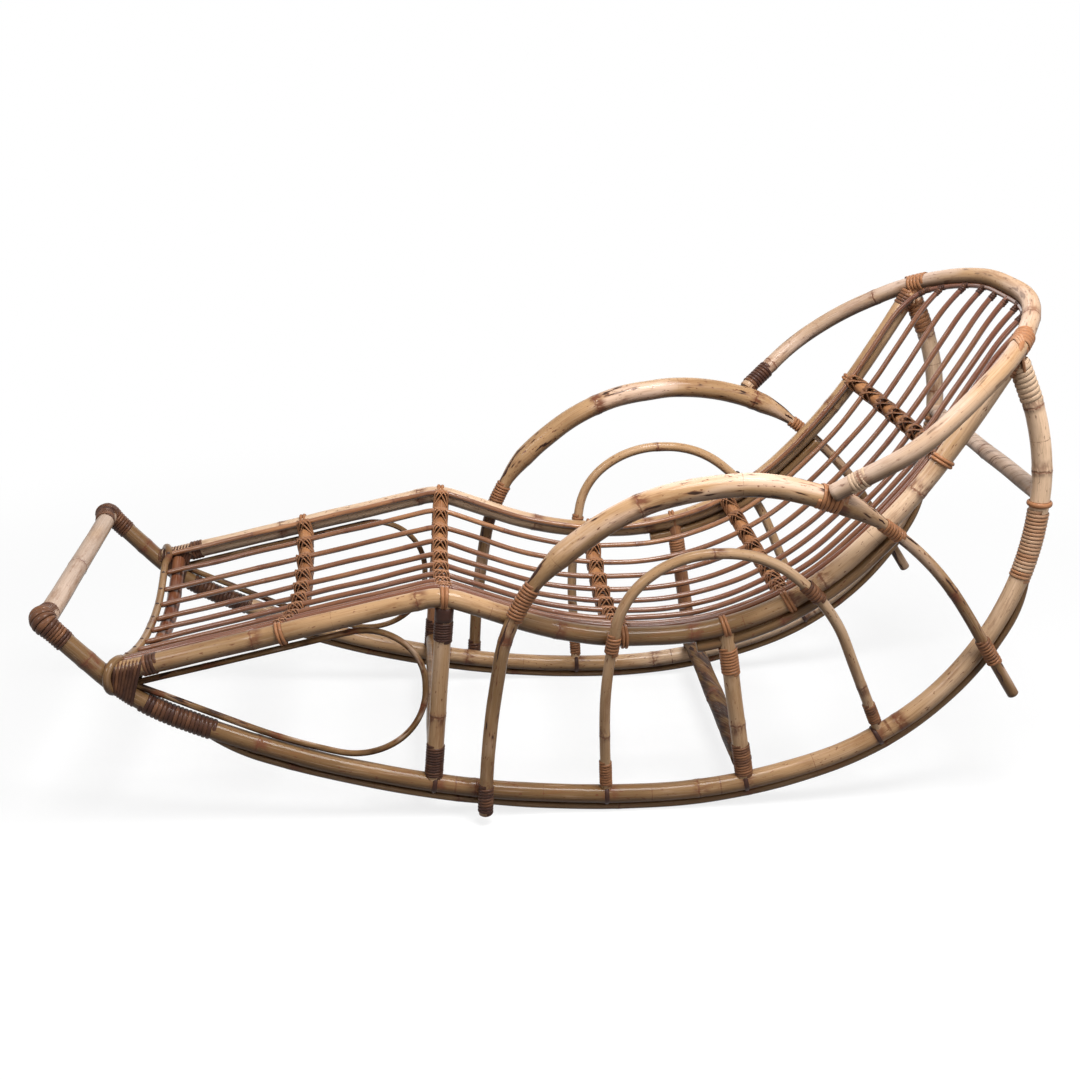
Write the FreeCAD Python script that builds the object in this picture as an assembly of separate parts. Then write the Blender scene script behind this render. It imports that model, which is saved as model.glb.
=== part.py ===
"""Rattan rocking chaise longue: bent canes on two rocker runners, a trough of
slats on bowed bearers, hooped arms and a flared back hoop, all bound with peel.

Millimetres. +X runs to the head end, +Z is up, Y = 0 is the middle plane and
the origin lies on the floor under the middle of the chaise. The left side of
the sitter is at -Y, and the right side is its mirror image.
"""
import FreeCAD, Part
import math
import os
from FreeCAD import Vector

# Cane diameters
FRAME_D = 30.0
RAIL_D = 30.0
UNDER_RAIL_D = 19.0
WEAR_STRIP_D = 12.0
FRONT_POST_D = 26.0
REAR_POST_D = 25.0
ARM_D = 36.0
ARM_LEG_D = 21.0
ARM_TAIL_D = 18.0
INNER_HOOP_D = 17.0
SCROLL_D = 10.0
FOOT_BAR_D = 28.0
BACK_HOOP_D = 28.0
HOOP_BAND_D = 6.0
BEARER_D = 24.0
STRETCHER_D = 24.0
SLAT_D = 8.5
PEEL_D = 3.6
STRAP_D = 5.0

# Fits between canes
CLEARANCE = 0.3
TRACK = 500.0

# Side profile of the rockers, from the foot bar to the top of the back (x, z)
FOOT_CORNER = (-756.0, 352.0)
POLE_BEND = (-635.0, 218.0)
RUNNER_FRONT_X = -215.0
RUNNER_BACK_X = 304.0
RUNNER_HEEL = (728.0, 180.0)
UPRIGHT_BEND = (756.0, 586.0)
UPRIGHT_TOP = (691.0, 726.0)
SIDE_RADII = (370.0, 1660.0, 850.0, 455.0, 400.0)
POLE_END = 17.0

# Side profile of the seat rail (x, z), from the pole to the back hoop
RAIL_FOOT = (-677.0, 264.0)
KNEE = (-164.0, 379.0)
SEAT_FRONT = (45.0, 301.0)
SEAT_BACK = (342.0, 301.0)
LUMBAR = (560.0, 519.0)
RAIL_TOP = (687.0, 735.0)
RAIL_RADII = (200.0, 560.0, 430.0, 900.0)

# Slat bed: a trough hung between the rails
SLAT_COUNT = 10
EDGE_RISE = 9.0
BED_DEPTH = 42.0
BAND_AT = 21.0
BAND_WIDTH = 12.0
FRONT_BEARER_X = -631.0
FOOT_BEARER_X = -408.0
KNEE_BEARER_X = -160.0
SEAT_BEARER_X = 115.0
LUMBAR_BEARER_X = 369.0
BACK_BEARER_X = 591.0
SLAT_REACH = 67.0
CROWN_DROP = 0.0011

# Posts between rail and runner (x at the rail, x at the runner)
FRONT_POST_X = (-158.0, -184.0)
REAR_POST_X = (272.0, 316.0)

# Cane under the seat rail (x of its two ends)
UNDER_RAIL_X = (229.0, 535.0)

# Routes of the bent canes outside the left rail (x, outward from the rail, z)
ARM_ROUTE = ((-103.0, 31.0, 17.0), (-99.0, 31.0, 150.0), (-58.0, 33.0, 395.0),
             (127.0, 42.0, 540.0), (307.0, 44.0, 563.0), (447.0, 50.0, 525.0),
             (542.0, 34.0, 455.0), (609.0, 30.0, 388.0), (732.0, 29.0, 195.0))
ARM_FRONT_SCARF = 400.0
ARM_REAR_SCARF = 385.0
ARM_TAPER = 60.0
INNER_HOOP_ROUTE = ((92.0, 0.0, 30.0), (82.0, 25.0, 222.0), (107.0, 36.0, 383.0),
                    (194.0, 34.0, 447.0), (320.0, 34.0, 447.0), (430.0, 27.0, 355.0),
                    (529.0, 0.0, 125.0))
BACK_HOOP_ROUTE = ((409.0, 62.0, 546.0), (514.0, 116.0, 626.0), (586.0, 91.0, 681.0),
                   (684.0, 21.0, 746.0), (765.0, -130.0, 791.0))

# Scroll in the front triangle (x, z)
SCROLL_START_X = -603.0
SCROLL_TOUCH_Z = 195.0
SCROLL_LOW_Z = 83.0
SCROLL_RUN = (-403.0, 140.0)
SCROLL_END = (-598.0, 231.0)
SCROLL_RADII = (92.0, 108.0, 900.0)

# Heights of the stretchers across the frame
FRONT_STRETCHER_Z = 92.0
REAR_STRETCHER_Z = 78.0
BACK_STRETCHER_Z = 517.0

# Splices of the side canes: where their windings begin and end
FRONT_SPLICE_X = (-622.0, -520.0)
REAR_SPLICE_Z = (380.0, 492.0)
SCARF_LENGTH = 80.0

# Turns of peel in each winding
FRONT_SPLICE_TURNS = 17
REAR_SPLICE_TURNS = 19
POST_TURNS = 8
ARM_TURNS = 6
HOOP_TURNS = 5
CORNER_TURNS = 4
PEEL_PITCH = 5.6
ARM_TAIL_Z = 262.0
INNER_FRONT_Z = 302.0
INNER_REAR_Z = 378.0
STRAP_ANGLES = (100.0, 40.0, -25.0)

# Share of a straight run that a free bend takes up: between two bends, and beside an end
BEND_SHARE = 0.49
END_BEND_SHARE = 0.98

# Steps of a search along a path, and points looked at in each turn of a winding
SEARCH_STEPS = 4000
TURN_POINTS = 24


def flat(point, y=0.0):
    """A side-profile point (x, z) at a given y."""
    return Vector(point[0], y, point[1])


class Path:
    """A chain of straight runs and arcs that can be measured along its length."""

    def __init__(self, edges):
        self.edges = edges
        self.length = sum(edge.Length for edge in edges)

    def wire(self):
        return Part.Wire(self.edges)

    def at(self, distance):
        """Point and unit direction at a distance from the start."""
        left = min(max(distance, 0.0), self.length)
        for edge in self.edges:
            if left <= edge.Length or edge is self.edges[-1]:
                place = along(edge, left)
                return edge.valueAt(place), edge.tangentAt(place)
            left -= edge.Length

    def part(self, first, last):
        """The stretch between two distances."""
        kept = []
        start = 0.0
        for edge in self.edges:
            low = max(first, start)
            high = min(last, start + edge.Length)
            if high - low > 0.01:
                kept.append(trimmed(edge, low - start, high - start))
            start += edge.Length
        return Path(kept)

    def where(self, axis, value):
        """First distance at which the path reaches a coordinate value."""
        step = self.length / SEARCH_STEPS
        last = getattr(self.at(0.0)[0], axis) - value
        for count in range(1, SEARCH_STEPS + 1):
            gap = getattr(self.at(count * step)[0], axis) - value
            if last * gap <= 0.0:
                return (count - gap / (gap - last)) * step
            last = gap
        raise ValueError("the path never reaches that place")

    def reversed_where(self, axis, value):
        """Last distance, from the end, at which the path reaches a value."""
        step = self.length / SEARCH_STEPS
        last = getattr(self.at(self.length)[0], axis) - value
        for count in range(1, SEARCH_STEPS + 1):
            gap = getattr(self.at(self.length - count * step)[0], axis) - value
            if last * gap <= 0.0:
                return (count - gap / (gap - last)) * step
            last = gap
        raise ValueError("the path never reaches that place")


def along(edge, distance):
    """Parameter of a straight or round edge at a distance from its start."""
    return edge.FirstParameter + (edge.LastParameter - edge.FirstParameter) * distance / edge.Length


def trimmed(edge, low, high):
    places = [along(edge, distance) for distance in (low, (low + high) / 2.0, high)]
    start, middle, end = [edge.valueAt(place) for place in places]
    if edge.Curve.TypeId == "Part::GeomLine":
        return Part.makeLine(start, end)
    return Part.Arc(start, middle, end).toShape()


def arc_from(start, direction, end):
    """An arc that leaves start along direction and ends at end."""
    chord = end - start
    across = direction - chord * (direction.dot(chord) / chord.dot(chord))
    if across.Length < 1e-7:
        return Part.makeLine(start, end)
    half_turn = direction.getAngle(chord) / 2.0
    bulge = chord.Length / 2.0 * math.tan(half_turn)
    return Part.Arc(start, start + chord / 2.0 + across.normalize() * bulge, end).toShape()


def rounded(points, radii=None):
    """Straight runs between points, joined by tangent arcs.

    Without radii each arc takes up half of the shorter run beside it.
    """
    edges = []
    here = points[0]
    last = len(points) - 1
    for count in range(1, last):
        corner = points[count]
        back = points[count - 1] - corner
        ahead = points[count + 1] - corner
        half_turn = (math.pi - back.getAngle(ahead)) / 2.0
        if radii:
            reach = radii[count - 1] * math.tan(half_turn)
        else:
            share_back = END_BEND_SHARE if count == 1 else BEND_SHARE
            share_ahead = END_BEND_SHARE if count == last - 1 else BEND_SHARE
            reach = min(back.Length * share_back, ahead.Length * share_ahead)
        first = corner + back.normalize() * reach
        second = corner + ahead.normalize() * reach
        if (first - here).Length > 0.05:
            edges.append(Part.makeLine(here, first))
        edges.append(arc_from(first, back * -1.0, second))
        here = second
    edges.append(Part.makeLine(here, points[last]))
    return Path(edges)


def offset(points, radii, distance):
    """A side profile moved down by a distance, with its bends kept concentric."""
    lines = []
    for first, second in zip(points, points[1:]):
        run = (second - first).normalize()
        down = Vector(run.z, 0.0, -run.x)
        lines.append((first + down * distance, run))
    moved = [lines[0][0]]
    bends = []
    for count in range(1, len(lines)):
        base, run = lines[count - 1]
        other, turn = lines[count]
        cross = run.x * turn.z - run.z * turn.x
        gap = other - base
        moved.append(base + run * ((gap.x * turn.z - gap.z * turn.x) / cross))
        bends.append(radii[count - 1] + math.copysign(distance, cross))
    moved.append(points[-1] + Vector(lines[-1][1].z, 0.0, -lines[-1][1].x) * distance)
    return rounded(moved, bends)


def cane(path, diameter):
    """A round cane along a path."""
    start, direction = path.at(0.0)
    ring = Part.Wire(Part.makeCircle(diameter / 2.0, start, direction))
    return path.wire().makePipeShell([ring], True, False)


def tapered(path, first_d, last_d):
    """A round cane along a path whose diameter changes from its start to its end."""
    rings = []
    for distance, diameter in ((0.0, first_d), (path.length, last_d)):
        point, direction = path.at(distance)
        rings.append(Part.Wire(Part.makeCircle(diameter / 2.0, point, direction)))
    return path.wire().makePipeShell(rings, True, False)


def straight(start, end, diameter):
    run = end - start
    return Part.makeCylinder(diameter / 2.0, run.Length, start, run)


def coped(piece, *neighbours):
    """A piece with its ends cut to sit against larger canes, biggest solid kept."""
    for path, diameter in neighbours:
        piece = piece.cut(cane(path, diameter + 2.0 * CLEARANCE))
    return max(piece.Solids, key=lambda solid: solid.Volume)


def mirrored(shape):
    return shape.mirror(Vector(0, 0, 0), Vector(0, 1, 0))


def both_sides(shapes):
    return Part.makeCompound(shapes + [mirrored(shape) for shape in shapes])


def biarc(start, leave, end, arrive):
    """Two arcs that join start to end with the given directions."""
    chord = end - start
    both = leave + arrive
    spread = 1.0 - leave.dot(arrive)
    lean = chord.dot(both)
    reach = (math.sqrt(lean * lean + 2.0 * spread * chord.dot(chord)) - lean) / (2.0 * spread)
    middle = (start + end + (leave - arrive) * reach) / 2.0
    first = arc_from(start, leave, middle)
    return [first, arc_from(middle, first.tangentAt(first.LastParameter), end)]


def winding(name, path, begin, end, turns, core_d, side, steps=2):
    """Peel wound round a cane as one unbroken tube, from begin to end along its path.

    Each turn is laid out in so many steps, and each step is a biarc.
    """
    radius = core_d / 2.0 + CLEARANCE + PEEL_D / 2.0

    def place(turn):
        centre, run = path.at(begin + (end - begin) * turn / turns)
        outward = (side - run * side.dot(run)).normalize()
        around = run.cross(outward)
        angle = 2.0 * math.pi * turn
        return centre + (outward * math.cos(angle) + around * math.sin(angle)) * radius

    def heading(turn):
        return (place(turn + 0.001) - place(turn - 0.001)).normalize()

    edges = []
    for count in range(steps * turns):
        first, second = count / steps, (count + 1) / steps
        edges += biarc(place(first), heading(first), place(second), heading(second))
    lead = edges[0].valueAt(edges[0].FirstParameter)
    lead_run = edges[0].tangentAt(edges[0].FirstParameter)
    tail = edges[-1].valueAt(edges[-1].LastParameter)
    tail_run = edges[-1].tangentAt(edges[-1].LastParameter)
    edges.insert(0, Part.makeLine(lead - lead_run * PEEL_D, lead))
    edges.append(Part.makeLine(tail, tail + tail_run * PEEL_D))
    samples = [place(count / TURN_POINTS) for count in range(TURN_POINTS * turns + 1)]
    gap = min((a - b).Length for a, b in zip(samples, samples[TURN_POINTS:])) - PEEL_D
    print("%s: %d turns, least gap to itself %.2f mm" % (name, turns, gap))
    return cane(Path(edges), PEEL_D)


# Shared routes
HALF_TRACK = TRACK / 2.0
LEFT = -HALF_TRACK
RUNNER_Z = WEAR_STRIP_D + CLEARANCE + FRAME_D / 2.0
OUT = Vector(0, -1, 0)


def side_points():
    """Corners of the left side profile, with the pole run past the foot bar."""
    points = [flat(FOOT_CORNER, LEFT), flat(POLE_BEND, LEFT),
              Vector(RUNNER_FRONT_X, LEFT, RUNNER_Z), Vector(RUNNER_BACK_X, LEFT, RUNNER_Z),
              flat(RUNNER_HEEL, LEFT), flat(UPRIGHT_BEND, LEFT), flat(UPRIGHT_TOP, LEFT)]
    points[0] = points[0] + (points[0] - points[1]).normalize() * POLE_END
    return points


def outer_route(route):
    """Corners of a route given as (x, outward from the left rail, z)."""
    return [Vector(x, LEFT - out, z) for x, out, z in route]


def hoop_points(inset=0.0):
    """Corners of the back hoop round both sides, moved in towards its middle."""
    left = outer_route(BACK_HOOP_ROUTE)
    if inset:
        back = (flat(RAIL_TOP) - flat(LUMBAR)).normalize()
        left = [p - back * inset + Vector(0, inset, 0) * (p.y < LEFT / 2.0) for p in left]
    return left + [Vector(p.x, -p.y, p.z) for p in reversed(left)]


SIDE_POINTS = side_points()
SIDE = rounded(SIDE_POINTS, SIDE_RADII)
RAIL_POINTS = [flat(p, LEFT) for p in (RAIL_FOOT, KNEE, SEAT_FRONT, SEAT_BACK, LUMBAR, RAIL_TOP)]
RAIL = rounded(RAIL_POINTS, RAIL_RADII)
ARM = rounded(outer_route(ARM_ROUTE))
INNER_HOOP = rounded(outer_route(INNER_HOOP_ROUTE))
HOOP = rounded(hoop_points())
UNDER_RAIL = offset(RAIL_POINTS, RAIL_RADII, (RAIL_D + UNDER_RAIL_D) / 2.0 + CLEARANCE)
UNDER_RAIL = UNDER_RAIL.part(*[UNDER_RAIL.where("x", x) for x in UNDER_RAIL_X])
FRONT_SPLICE = [SIDE.where("x", x) for x in FRONT_SPLICE_X]
REAR_SPLICE = [SIDE.length - SIDE.reversed_where("z", z) for z in REAR_SPLICE_Z]
FRONT_POST = [RAIL.at(RAIL.where("x", FRONT_POST_X[0]))[0], SIDE.at(SIDE.where("x", FRONT_POST_X[1]))[0]]
REAR_POST = [RAIL.at(RAIL.where("x", REAR_POST_X[0]))[0], SIDE.at(SIDE.where("x", REAR_POST_X[1]))[0]]

# Bed section: slats on a circle that passes both edge slats and the middle
SLAT_EDGE_Y = HALF_TRACK - math.sqrt(((RAIL_D + SLAT_D) / 2.0 + CLEARANCE) ** 2 - EDGE_RISE ** 2)
BED_RADIUS = (SLAT_EDGE_Y ** 2 + BED_DEPTH ** 2) / (2.0 * BED_DEPTH)
BEARER_DROP = (SLAT_D + BEARER_D) / 2.0 + CLEARANCE


def line_at(ends, z):
    """Point of a straight post at a height."""
    return ends[0] + (ends[1] - ends[0]) * ((z - ends[0].z) / (ends[1].z - ends[0].z))


def scarf_block(path, distance, length, keep_start):
    """A block whose slanted face cuts a cane for a long scarf joint."""
    centre, run = path.at(distance)
    up = OUT.cross(run)
    size = 3.0 * (length + FRAME_D)
    block = Part.makeBox(size, size, size, Vector(0, -size / 2.0, -size / 2.0))
    block.rotate(Vector(0, 0, 0), Vector(0, 1, 0), math.degrees(math.atan2(length, FRAME_D)))
    gap = CLEARANCE / 2.0 * math.hypot(length, FRAME_D) / FRAME_D
    frame = FreeCAD.Matrix(run.x, OUT.x, up.x, centre.x, run.y, OUT.y, up.y, centre.y,
                           run.z, OUT.z, up.z, centre.z, 0, 0, 0, 1)
    if not keep_start:
        block.rotate(Vector(0, 0, 0), Vector(0, 1, 0), 180.0)
    block.translate(Vector(-gap if keep_start else gap, 0, 0))
    return block.transformGeometry(frame)


def side_canes():
    """Front pole, runner and rear upright, spliced end to end."""
    reach = SCARF_LENGTH
    front = sum(FRONT_SPLICE) / 2.0
    rear = sum(REAR_SPLICE) / 2.0
    pole = cane(SIDE.part(0.0, front + reach), FRAME_D)
    runner = cane(SIDE.part(front - reach, rear + reach), FRAME_D)
    upright = cane(SIDE.part(rear - reach, SIDE.length), FRAME_D)
    pole = pole.cut(scarf_block(SIDE, front, SCARF_LENGTH, True))
    runner = runner.cut(scarf_block(SIDE, front, SCARF_LENGTH, False))
    runner = runner.cut(scarf_block(SIDE, rear, SCARF_LENGTH, True))
    upright = upright.cut(scarf_block(SIDE, rear, SCARF_LENGTH, False))
    return pole, runner, coped(upright, (HOOP, BACK_HOOP_D), (RAIL, RAIL_D))


def wear_strip():
    """Thin cane under the runner, from splice to splice, that rolls on the floor."""
    path = offset(SIDE_POINTS, SIDE_RADII, (FRAME_D + WEAR_STRIP_D) / 2.0 + CLEARANCE)
    first = path.where("x", FRONT_SPLICE_X[1] + STRAP_D)
    last = path.length - path.reversed_where("z", REAR_SPLICE_Z[0] - 2.0 * STRAP_D)
    return cane(path.part(first, last), WEAR_STRIP_D)


def arm():
    """Thick bent arm, whittled down to a thin leg and a thin tail."""
    rear = ARM.length - ARM_REAR_SCARF
    front = ARM_FRONT_SCARF
    leg = cane(ARM.part(0.0, front), ARM_LEG_D)
    front_taper = tapered(ARM.part(front, front + ARM_TAPER), ARM_LEG_D, ARM_D)
    thick = cane(ARM.part(front + ARM_TAPER, rear - ARM_TAPER), ARM_D)
    rear_taper = tapered(ARM.part(rear - ARM_TAPER, rear), ARM_D, ARM_TAIL_D)
    tail = cane(ARM.part(rear, ARM.length), ARM_TAIL_D)
    return leg.fuse([front_taper, thick, rear_taper, tail])


def scroll():
    """Thin teardrop cane that fills the corner between rail, runner and post."""
    below = offset(RAIL_POINTS, RAIL_RADII, (RAIL_D + SCROLL_D) / 2.0 + PEEL_D + 2.0 * CLEARANCE)
    start, run = below.at(below.where("x", SCROLL_START_X))
    right = line_at(FRONT_POST, SCROLL_TOUCH_Z).x - (FRONT_POST_D + SCROLL_D) / 2.0 - 3.0 * CLEARANCE
    top = start + run * ((right - start.x) / run.x)
    corners = [start, top] + [flat(p, LEFT) for p in ((right, SCROLL_LOW_Z), SCROLL_RUN, SCROLL_END)]
    return cane(rounded(corners, SCROLL_RADII), SCROLL_D)


def post(ends, diameter):
    return coped(straight(ends[0], ends[1], diameter),
                 (RAIL, RAIL_D), (UNDER_RAIL, UNDER_RAIL_D), (SIDE, FRAME_D))


def bed_drop(y):
    """How far a slat at y lies below the rail, square to it."""
    return BED_DEPTH - EDGE_RISE - (BED_RADIUS - math.sqrt(BED_RADIUS ** 2 - y ** 2))


def slat(y):
    """One slat along the bed, from the front band to the crown of the hoop."""
    middle = [Vector(p.x, y, p.z) for p in RAIL_POINTS]
    back = (middle[-1] - middle[-2]).normalize()
    middle[-1] = middle[-1] + back * (SLAT_REACH - CROWN_DROP * y * y)
    path = offset(middle, RAIL_RADII, bed_drop(y))
    return cane(path.part(BAND_AT + BAND_WIDTH + CLEARANCE, path.length), SLAT_D)


def bed_frame(distance):
    """Centre of the bed circle and the rail's direction at a distance along it."""
    point, run = RAIL.at(distance)
    up = Vector(-run.z, 0.0, run.x)
    centre = Vector(point.x, 0.0, point.z) + up * (BED_RADIUS - BED_DEPTH + EDGE_RISE)
    return centre, run, up


def bed_arc(distance, radius, half_width):
    """Arc across the bed at a distance along the rail."""
    centre, run, up = bed_frame(distance)
    low = math.sqrt(radius ** 2 - half_width ** 2)
    ends = [centre - up * low + Vector(0, y, 0) for y in (-half_width, half_width)]
    return Path([Part.Arc(ends[0], centre - up * radius, ends[1]).toShape()])


def bearer_path(x):
    return bed_arc(RAIL.where("x", x), BED_RADIUS + BEARER_DROP, HALF_TRACK - RAIL_D / 4.0)


def pairs(*canes):
    """Left canes (path, diameter) with their mirror images."""
    right = [(Path([mirrored(edge) for edge in path.edges]), diameter) for path, diameter in canes]
    return list(canes) + right


def bearer(x):
    """Bowed cross cane that carries the slats, coped to what it meets at its ends."""
    beside = pairs((RAIL, RAIL_D), (UNDER_RAIL, UNDER_RAIL_D), (rounded(FRONT_POST), FRONT_POST_D))
    return coped(cane(bearer_path(x), BEARER_D), *beside)


def front_band():
    """Flat bowed strip at the foot end that the slats are nailed behind."""
    centre, run, up = bed_frame(BAND_AT)
    half = SLAT_EDGE_Y + SLAT_D / 2.0
    corners = []
    for radius in (BED_RADIUS - SLAT_D / 2.0, BED_RADIUS + SLAT_D / 2.0):
        low = math.sqrt(radius ** 2 - half ** 2)
        corners.append([centre - up * low + Vector(0, y, 0) for y in (-half, half)])
        corners[-1].insert(1, centre - up * radius)
    upper, lower = corners
    outline = Part.Wire([Part.Arc(*upper).toShape(), Part.makeLine(upper[2], lower[2]),
                         Part.Arc(*lower).toShape(), Part.makeLine(lower[0], upper[0])])
    strip = Part.Face(outline).extrude(run * BAND_WIDTH)
    return coped(strip, *pairs((RAIL, RAIL_D)))


def stretcher(end, path, diameter):
    """Straight cane across the frame, coped to the upright canes at its ends."""
    bar = straight(end, Vector(end.x, -end.y, end.z), STRETCHER_D)
    return coped(bar, *pairs((path, diameter)))


def foot_bar():
    bar = straight(flat(FOOT_CORNER, LEFT), flat(FOOT_CORNER, HALF_TRACK), FOOT_BAR_D)
    return coped(bar, *pairs((SIDE, FRAME_D)))


def back_hoop():
    return coped(cane(HOOP, BACK_HOOP_D), *pairs((ARM, ARM_D)))


def hoop_band():
    """Thin cane inside the crown of the hoop that the slat tops are lashed to."""
    inside = rounded(hoop_points((BACK_HOOP_D + HOOP_BAND_D) / 2.0 + 3.0 * CLEARANCE))
    half = SLAT_EDGE_Y - 2.0 * SLAT_D
    ends = [inside.where("y", y) for y in (-half, half)]
    return cane(inside.part(*ends), HOOP_BAND_D)


def save(name, shape):
    solids = shape.Solids
    assert solids and all(solid.isValid() and solid.Volume > 1.0 for solid in solids), name
    shape.exportStep("parts/%s.step" % name)


def save_pair(name, left):
    save("left_" + name, left)
    save("right_" + name, mirrored(left))


def frame_nodes():
    pole, runner, upright = side_canes()
    save_pair("front_pole", pole)
    save_pair("runner", runner)
    save_pair("rear_upright", upright)
    save_pair("wear_strip", wear_strip())
    save_pair("seat_rail", coped(cane(RAIL, RAIL_D), (SIDE, FRAME_D), (HOOP, BACK_HOOP_D)))
    save_pair("under_rail", cane(UNDER_RAIL, UNDER_RAIL_D))
    save_pair("front_post", post(FRONT_POST, FRONT_POST_D))
    save_pair("rear_post", post(REAR_POST, REAR_POST_D))
    save_pair("arm", arm())
    save_pair("inner_hoop", coped(cane(INNER_HOOP, INNER_HOOP_D), (SIDE, FRAME_D)))
    save_pair("scroll", scroll())


def cross_nodes():
    save("foot_bar", foot_bar())
    save("back_hoop", back_hoop())
    save("hoop_band", hoop_band())
    save("front_band", front_band())
    for name, x in (("front", FRONT_BEARER_X), ("foot", FOOT_BEARER_X), ("knee", KNEE_BEARER_X),
                    ("seat", SEAT_BEARER_X), ("lumbar", LUMBAR_BEARER_X), ("back", BACK_BEARER_X)):
        save(name + "_bearer", bearer(x))
    peel = 2.0 * (PEEL_D + CLEARANCE)
    back = SIDE.at(SIDE.length - SIDE.reversed_where("z", BACK_STRETCHER_Z))[0]
    save("front_stretcher", stretcher(line_at(FRONT_POST, FRONT_STRETCHER_Z),
                                      rounded(FRONT_POST), FRONT_POST_D + peel))
    save("rear_stretcher", stretcher(line_at(REAR_POST, REAR_STRETCHER_Z),
                                     rounded(REAR_POST), REAR_POST_D + peel))
    save("back_stretcher", stretcher(back, SIDE, FRAME_D))


def slat_nodes():
    pitch = 2.0 * SLAT_EDGE_Y / (SLAT_COUNT - 1)
    for count in range(SLAT_COUNT):
        save("slat_%02d" % (count + 1), slat(count * pitch - SLAT_EDGE_Y))


def wound(name, path, begin, turns, core_d, pitch=PEEL_PITCH):
    """A winding of so many turns, from begin on along a side cane."""
    return winding(name, path, begin, begin + turns * pitch, turns, core_d, OUT)


def splice_windings():
    front = winding("front splice", SIDE, *FRONT_SPLICE, FRONT_SPLICE_TURNS, FRAME_D, OUT)
    rear = winding("rear splice", SIDE, *REAR_SPLICE, REAR_SPLICE_TURNS, FRAME_D, OUT)
    save("front_splice_windings", both_sides([front]))
    save("rear_splice_windings", both_sides([rear]))


def post_windings():
    """Peel round both ends of each post, clear of the rail and the runner."""
    shapes = []
    reach = POST_TURNS * PEEL_PITCH
    for ends, diameter, above in ((FRONT_POST, FRONT_POST_D, 0.0), (REAR_POST, REAR_POST_D, UNDER_RAIL_D)):
        path = rounded(ends)
        top = RAIL_D / 2.0 + above + STRAP_D
        low = path.length - FRAME_D / 2.0 - STRAP_D - reach
        shapes.append(wound("post top", path, top, POST_TURNS, diameter))
        shapes.append(wound("post foot", path, low, POST_TURNS, diameter))
    save("post_windings", both_sides(shapes))


def arm_bindings():
    """Peel where the arm passes the runner and the rail, front and rear."""
    reach = ARM_TURNS * PEEL_PITCH
    rail = ARM_FRONT_SCARF - STRAP_D - reach
    crossing = ARM.length - ARM_REAR_SCARF + STRAP_D
    runner = ARM.length - ARM.reversed_where("z", ARM_TAIL_Z)
    save("arm_bindings", both_sides([
        wound("arm foot", ARM, STRAP_D, ARM_TURNS, ARM_LEG_D),
        wound("arm at the rail", ARM, rail, ARM_TURNS, ARM_LEG_D),
        wound("tail at the rail", ARM, crossing, ARM_TURNS, ARM_TAIL_D),
        wound("tail at the runner", ARM, runner - reach / 2.0, ARM_TURNS, ARM_TAIL_D)]))


def inner_hoop_bindings():
    """Peel at both feet of the inner hoop and where it passes the rail."""
    reach = HOOP_TURNS * PEEL_PITCH
    foot = FRAME_D / 2.0 + STRAP_D
    front = INNER_HOOP.where("z", INNER_FRONT_Z) - reach / 2.0
    rear = INNER_HOOP.length - INNER_HOOP.reversed_where("z", INNER_REAR_Z) - reach / 2.0
    save("inner_hoop_bindings", both_sides([
        wound("inner hoop front foot", INNER_HOOP, foot, HOOP_TURNS, INNER_HOOP_D),
        wound("inner hoop front", INNER_HOOP, front, HOOP_TURNS, INNER_HOOP_D),
        wound("inner hoop rear", INNER_HOOP, rear, HOOP_TURNS, INNER_HOOP_D),
        wound("inner hoop rear foot", INNER_HOOP, INNER_HOOP.length - foot - reach,
              HOOP_TURNS, INNER_HOOP_D)]))


def back_bindings():
    """Peel round the top of the uprights and the ends of the back hoop."""
    upright = SIDE.length - RAIL_D - POST_TURNS * PEEL_PITCH
    save("back_bindings", both_sides([
        wound("upright", SIDE, upright, HOOP_TURNS, FRAME_D),
        wound("hoop end", HOOP, ARM_D, CORNER_TURNS, BACK_HOOP_D)]))


def foot_bindings():
    """Peel round the corners of the foot bar and under the front joint."""
    corner = POLE_END + FOOT_BAR_D / 2.0 + STRAP_D
    joint = SIDE.where("x", RAIL_FOOT[0] + RAIL_D)
    bar = rounded([flat(FOOT_CORNER, LEFT), flat(FOOT_CORNER, HALF_TRACK)])
    first = FRAME_D / 2.0 + STRAP_D
    end = winding("foot bar", bar, first, first + CORNER_TURNS * PEEL_PITCH,
                  CORNER_TURNS, FOOT_BAR_D, Vector(-1, 0, 0))
    save("corner_bindings", both_sides([wound("corner", SIDE, corner, CORNER_TURNS, FRAME_D), end]))
    save("front_joint_bindings", both_sides([wound("front joint", SIDE, joint, CORNER_TURNS, FRAME_D)]))


def lashing(name, x):
    """Peel that runs round a bearer once between each two slats."""
    path = bearer_path(x)
    up = bed_frame(RAIL.where("x", x))[2]
    pitch = 2.0 * SLAT_EDGE_Y / (SLAT_COUNT - 1)
    first = path.where("y", pitch / 2.0 - SLAT_EDGE_Y)
    last = path.where("y", SLAT_EDGE_Y - pitch / 2.0)
    return winding(name, path, first, last, SLAT_COUNT - 2, BEARER_D, up, steps=4)


def strap(x):
    """Strap of peel over the outside of the rail at the end of a bearer."""
    centre, run = RAIL.at(RAIL.where("x", x))
    up = OUT.cross(run)
    radius = RAIL_D / 2.0 + CLEARANCE + STRAP_D / 2.0
    turn = [math.radians(angle) for angle in STRAP_ANGLES]
    points = [centre + (OUT * math.cos(a) + up * math.sin(a)) * radius for a in turn]
    return cane(Path([Part.Arc(*points).toShape()]), STRAP_D)


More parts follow.
